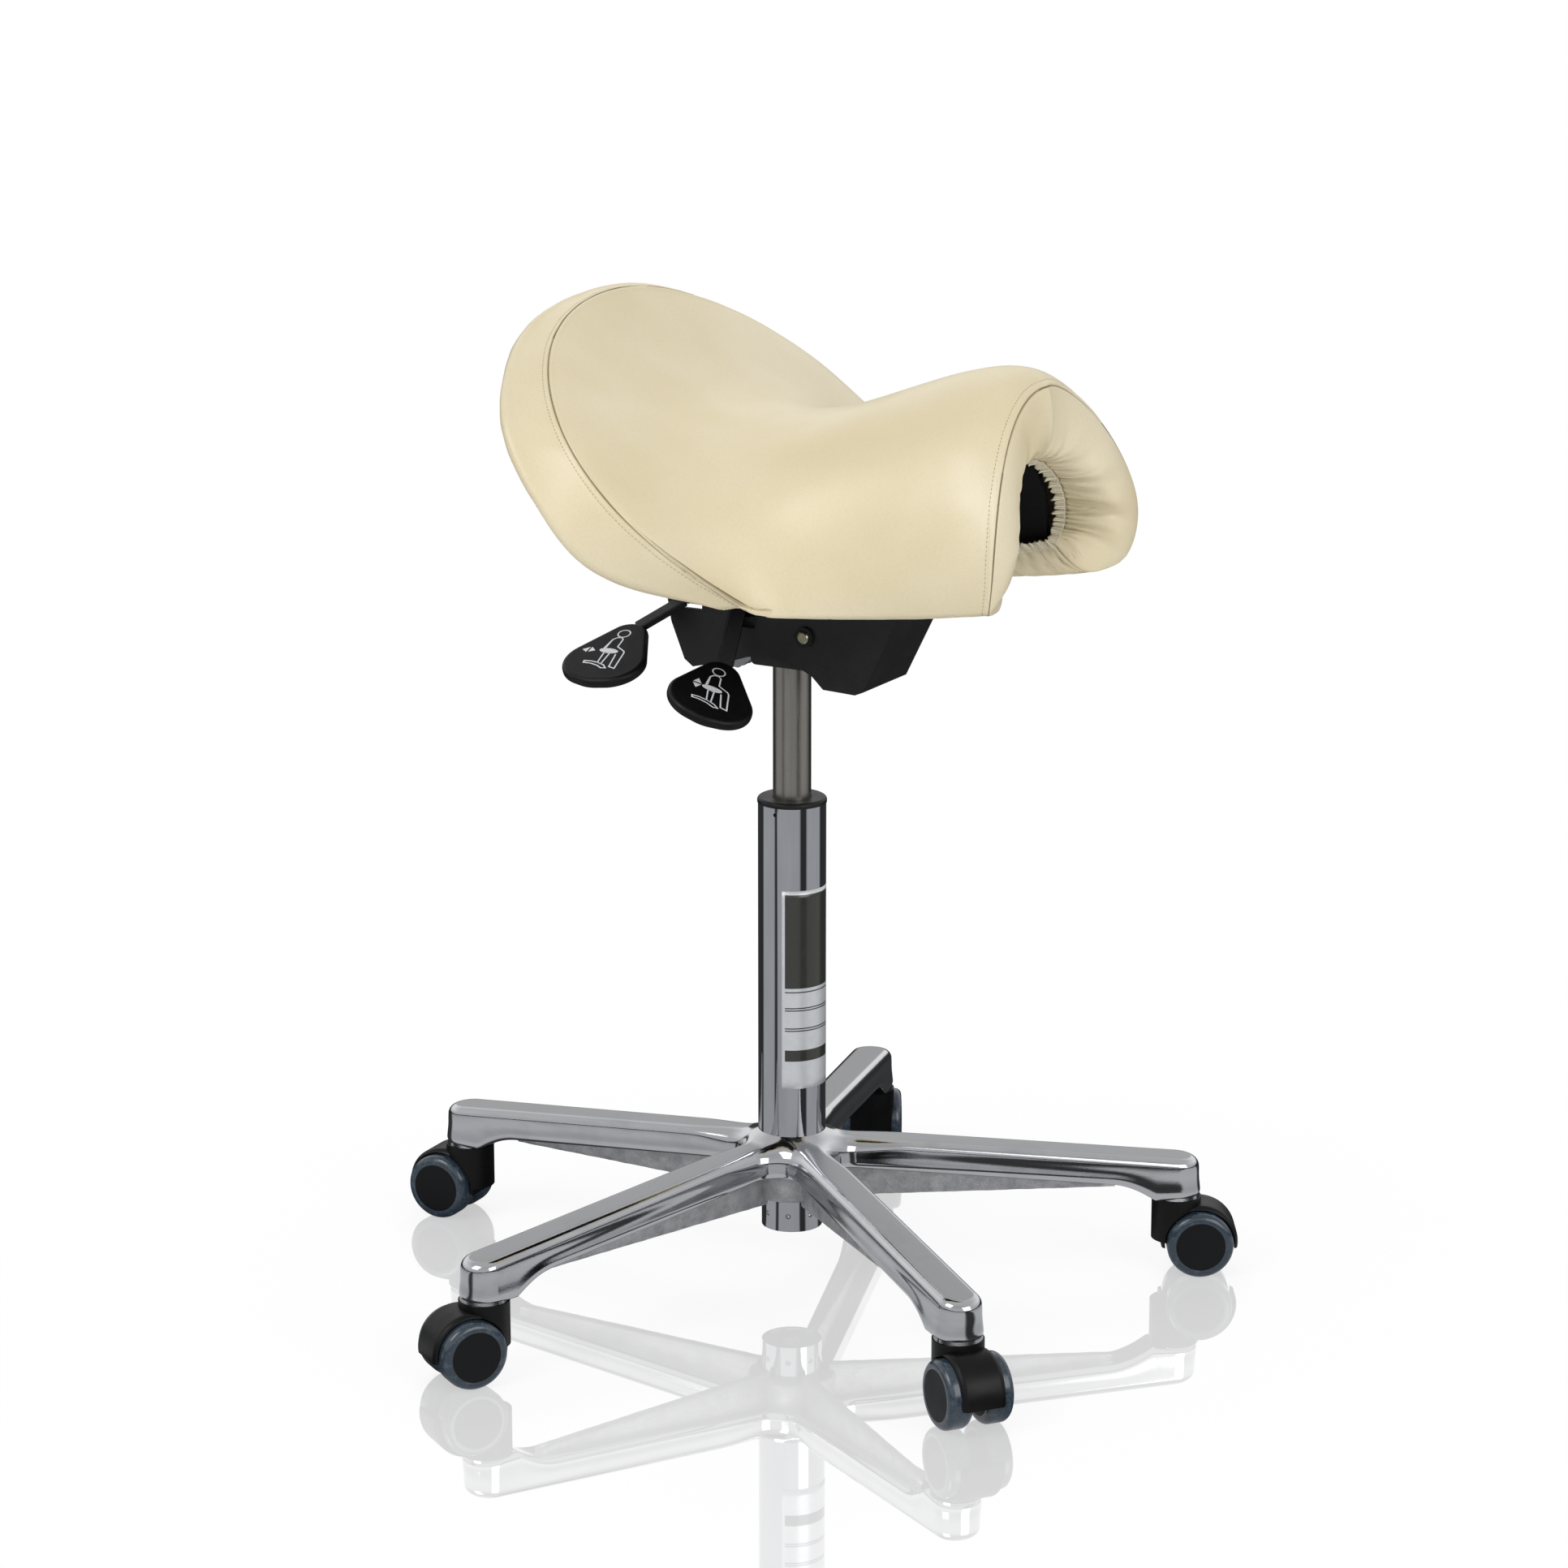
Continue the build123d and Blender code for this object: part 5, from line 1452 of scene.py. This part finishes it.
class STOOL_OT_castor_finish(bpy.types.Operator):
    """Gives the castors their finishes"""
    bl_idname = "stool.castor_finish"
    bl_label = "Castors"

    def execute(self, context):
        finishes = context.scene.stool_finishes
        hood = moulded_plastic("Nylon_castor_hood", "060607", 0.34, 0.46)
        core = moulded_plastic("Nylon_wheel", "07080A", 0.46, 0.56)
        tread, steel = soft_tread(finishes), turned_steel()
        for k in range(1, ARM_COUNT + 1):
            give(hood, f"castor_{k}_hood")
            give(steel, f"castor_{k}_pins")
            for side in "ab":
                give(core, f"castor_{k}_wheel_{side}_core")
                give(tread, f"castor_{k}_wheel_{side}_tread")
        return {"FINISHED"}


def lamp(name, power, size, place, aim, mirrored_in_metal):
    """A square soft lamp that faces a point."""
    data = bpy.data.lights.new(name, "AREA")
    data.energy, data.size = power, size
    made = bpy.data.objects.new(name, data)
    made.location = place
    made.rotation_euler = (Vector(aim) - Vector(place)).to_track_quat("-Z", "Y").to_euler()
    made.visible_glossy = mirrored_in_metal
    bpy.context.scene.collection.objects.link(made)


def studio_floor(stage):
    """Lacquered white board: a pale diffuse ground with a mirror image, white far off.

    Polished metal sees the room as a dimmer floor with dark flags standing round it."""
    material, tree, place = start("Studio_floor")
    cloud = add(tree, "TexNoise", {"Vector": place, "Scale": 1 / (300 * MM), "Detail": 2})["Fac"]
    cloud = add(tree, "MapRange", cloud, 0.3, 0.7, 0.0, 0.05)[0]
    colour = add(tree, "Mix", {0: cloud, 6: [*stage.floor, 1], 7: linear("F0F0F0")},
                 data_type="RGBA")[2]
    board = add(tree, "BsdfDiffuse", {"Color": colour})["BSDF"]
    white = add(tree, "Emission", {"Color": (1, 1, 1, 1), "Strength": 1.0})["Emission"]
    lacquer = add(tree, "BsdfGlossy", {"Color": (1, 1, 1, 1), "Roughness": 0.015})["BSDF"]
    axes = add(tree, "SeparateXYZ", place)
    heading = add(tree, "Math", axes[1], axes[0], operation="ARCTAN2")[0]
    flags = 0.0
    for centre, half in DARK_FLAGS:
        turned = add(tree, "Math", heading, math.radians(centre), operation="SUBTRACT")[0]
        turned = add(tree, "Math", turned, operation="COSINE")[0]
        low, high = (math.cos(math.radians(half + edge)) for edge in (FLAG_EDGE, -FLAG_EDGE))
        flag = add(tree, "MapRange", turned, low, high)[0]
        flags = add(tree, "Math", flag, flags, operation="MAXIMUM")[0]
    glow = add(tree, "MapRange", flags, 0.0, 1.0, stage.room, 0.05)[0]
    room = add(tree, "Emission", {"Color": (0.97, 0.98, 1.0, 1), "Strength": glow})["Emission"]
    away = add(tree, "VectorMath", place, operation="LENGTH")["Value"]
    path = add(tree, "LightPath")
    # the camera sees white with a little of the board's shading, under a coat that mirrors
    fade = add(tree, "MapRange", away, 0.3, 0.6, 0.8, 1.0)[0]
    shown = add(tree, "MixShader", fade, board, white)[0]
    coat = add(tree, "MapRange", away, 1.1, 2.0, stage.mirror, 0.0)[0]
    shown = add(tree, "MixShader", coat, shown, lacquer)[0]
    mixed = add(tree, "MixShader", path["Is Camera Ray"], board, shown)[0]
    mixed = add(tree, "MixShader", path["Is Glossy Ray"], mixed, room)[0]
    # seen from below, the floor isn't there
    under = add(tree, "Math", add(tree, "NewGeometry")["Backfacing"], path["Is Camera Ray"],
                operation="MULTIPLY")[0]
    clear = add(tree, "BsdfTransparent", {"Color": (1, 1, 1, 1)})["BSDF"]
    mixed = add(tree, "MixShader", under, mixed, clear)[0]
    add(tree, "OutputMaterial", {"Surface": mixed})
    return material


def studio_world(stage):
    """White room light; polished metal sees a dark horizon below the white."""
    world = bpy.data.worlds.new("Studio")
    world.use_nodes = True
    tree = world.node_tree
    tree.nodes.clear()
    path = add(tree, "LightPath")
    up = add(tree, "SeparateXYZ", add(tree, "TexCoord")["Generated"])[2]
    horizon = add(tree, "MapRange", up, 0.09, 0.14, 0.06, 1.0)[0]
    ceiling = add(tree, "MapRange", up, 0.45, 0.8, 1.0, stage.room)[0]
    horizon = add(tree, "Math", horizon, ceiling, operation="MULTIPLY")[0]
    direct = add(tree, "Math", path["Is Camera Ray"], path["Is Transmission Ray"],
                 operation="MAXIMUM")[0]
    strength = add(tree, "Mix", {0: path["Is Glossy Ray"], 2: stage.sky, 3: horizon})[0]
    strength = add(tree, "Mix", {0: direct, 2: strength, 3: 1.0})[0]
    glow = add(tree, "Background", {"Color": (1, 1, 1, 1), "Strength": strength})["Background"]
    add(tree, "OutputWorld", {"Surface": glow})
    return world


def studio_camera(stage):
    """Camera at the stage's heading, height and distance, level and without shift."""
    turn, rise = stage.azimuth, stage.elevation
    right = Vector((math.cos(turn), math.sin(turn), 0))
    back = Vector((math.sin(turn) * math.cos(rise), -math.cos(turn) * math.cos(rise),
                   math.sin(rise)))
    data = bpy.data.cameras.new("camera")
    data.sensor_width, data.lens = SENSOR, LENS
    camera = bpy.data.objects.new("camera", data)
    camera.location = (Vector((0, 0, stage.aim)) - right * CAMERA_SIDESTEP
                       + back * stage.distance)
    camera.rotation_euler = (-back).to_track_quat("-Z", "Y").to_euler()
    bpy.context.scene.collection.objects.link(camera)
    return camera


class STOOL_OT_stage(bpy.types.Operator):
    """Makes the floor, the lamps, the room light and the camera"""
    bl_idname = "stool.stage"
    bl_label = "Stage"

    def execute(self, context):
        stage = context.scene.stool_stage
        bm = bmesh.new()
        bmesh.ops.create_grid(bm, x_segments=8, y_segments=8, size=FLOOR_HALF)
        floor = new_object("studio_floor", bm, studio_floor(stage))
        context.scene.world = studio_world(stage)
        for name, power, size, place, aim, in_metal in LAMPS:
            lamp(name, getattr(stage, power), size, place, (0, 0, aim), in_metal)
        context.scene.camera = studio_camera(stage)
        context.scene.view_settings.view_transform = "Standard"
        return {"FINISHED"}


OPERATORS = (STOOL_OT_saddle_cover, STOOL_OT_topstitching, STOOL_OT_hem_binding,
             STOOL_OT_dust_cloth, STOOL_OT_star_base, STOOL_OT_frame_finish,
             STOOL_OT_castor_finish, STOOL_OT_column_label, STOOL_OT_paddle_signs,
             STOOL_OT_stage)


class STOOL_PT_panel(bpy.types.Panel):
    """Lists the stool's pieces and settings"""
    bl_idname = "STOOL_PT_panel"
    bl_label = "Saddle stool"
    bl_space_type = "VIEW_3D"
    bl_region_type = "UI"
    bl_category = "Stool"

    def draw(self, context):
        for operator in OPERATORS:
            self.layout.operator(operator.bl_idname)
        for group in ("stool_upholstery", "stool_finishes", "stool_stage"):
            settings = getattr(context.scene, group)
            for name in settings.bl_rna.properties.keys():
                if name not in ("rna_type", "name"):
                    self.layout.prop(settings, name)


GROUPS = (("stool_upholstery", StoolUpholstery), ("stool_finishes", StoolFinishes),
          ("stool_stage", StoolStage))


def register():
    """Registers the settings, the operators and the panel."""
    for name, group in GROUPS:
        bpy.utils.register_class(group)
        setattr(bpy.types.Scene, name, PointerProperty(type=group))
    for operator in (*OPERATORS, STOOL_PT_panel):
        bpy.utils.register_class(operator)


def unregister():
    """Takes them all out again."""
    for operator in (*OPERATORS, STOOL_PT_panel):
        bpy.utils.unregister_class(operator)
    for name, group in GROUPS:
        delattr(bpy.types.Scene, name)
        bpy.utils.unregister_class(group)


def main():
    """Makes every piece."""
    register()
    for operator in OPERATORS:
        group, name = operator.bl_idname.split(".")
        getattr(getattr(bpy.ops, group), name)()


if __name__ == "__main__":
    main()
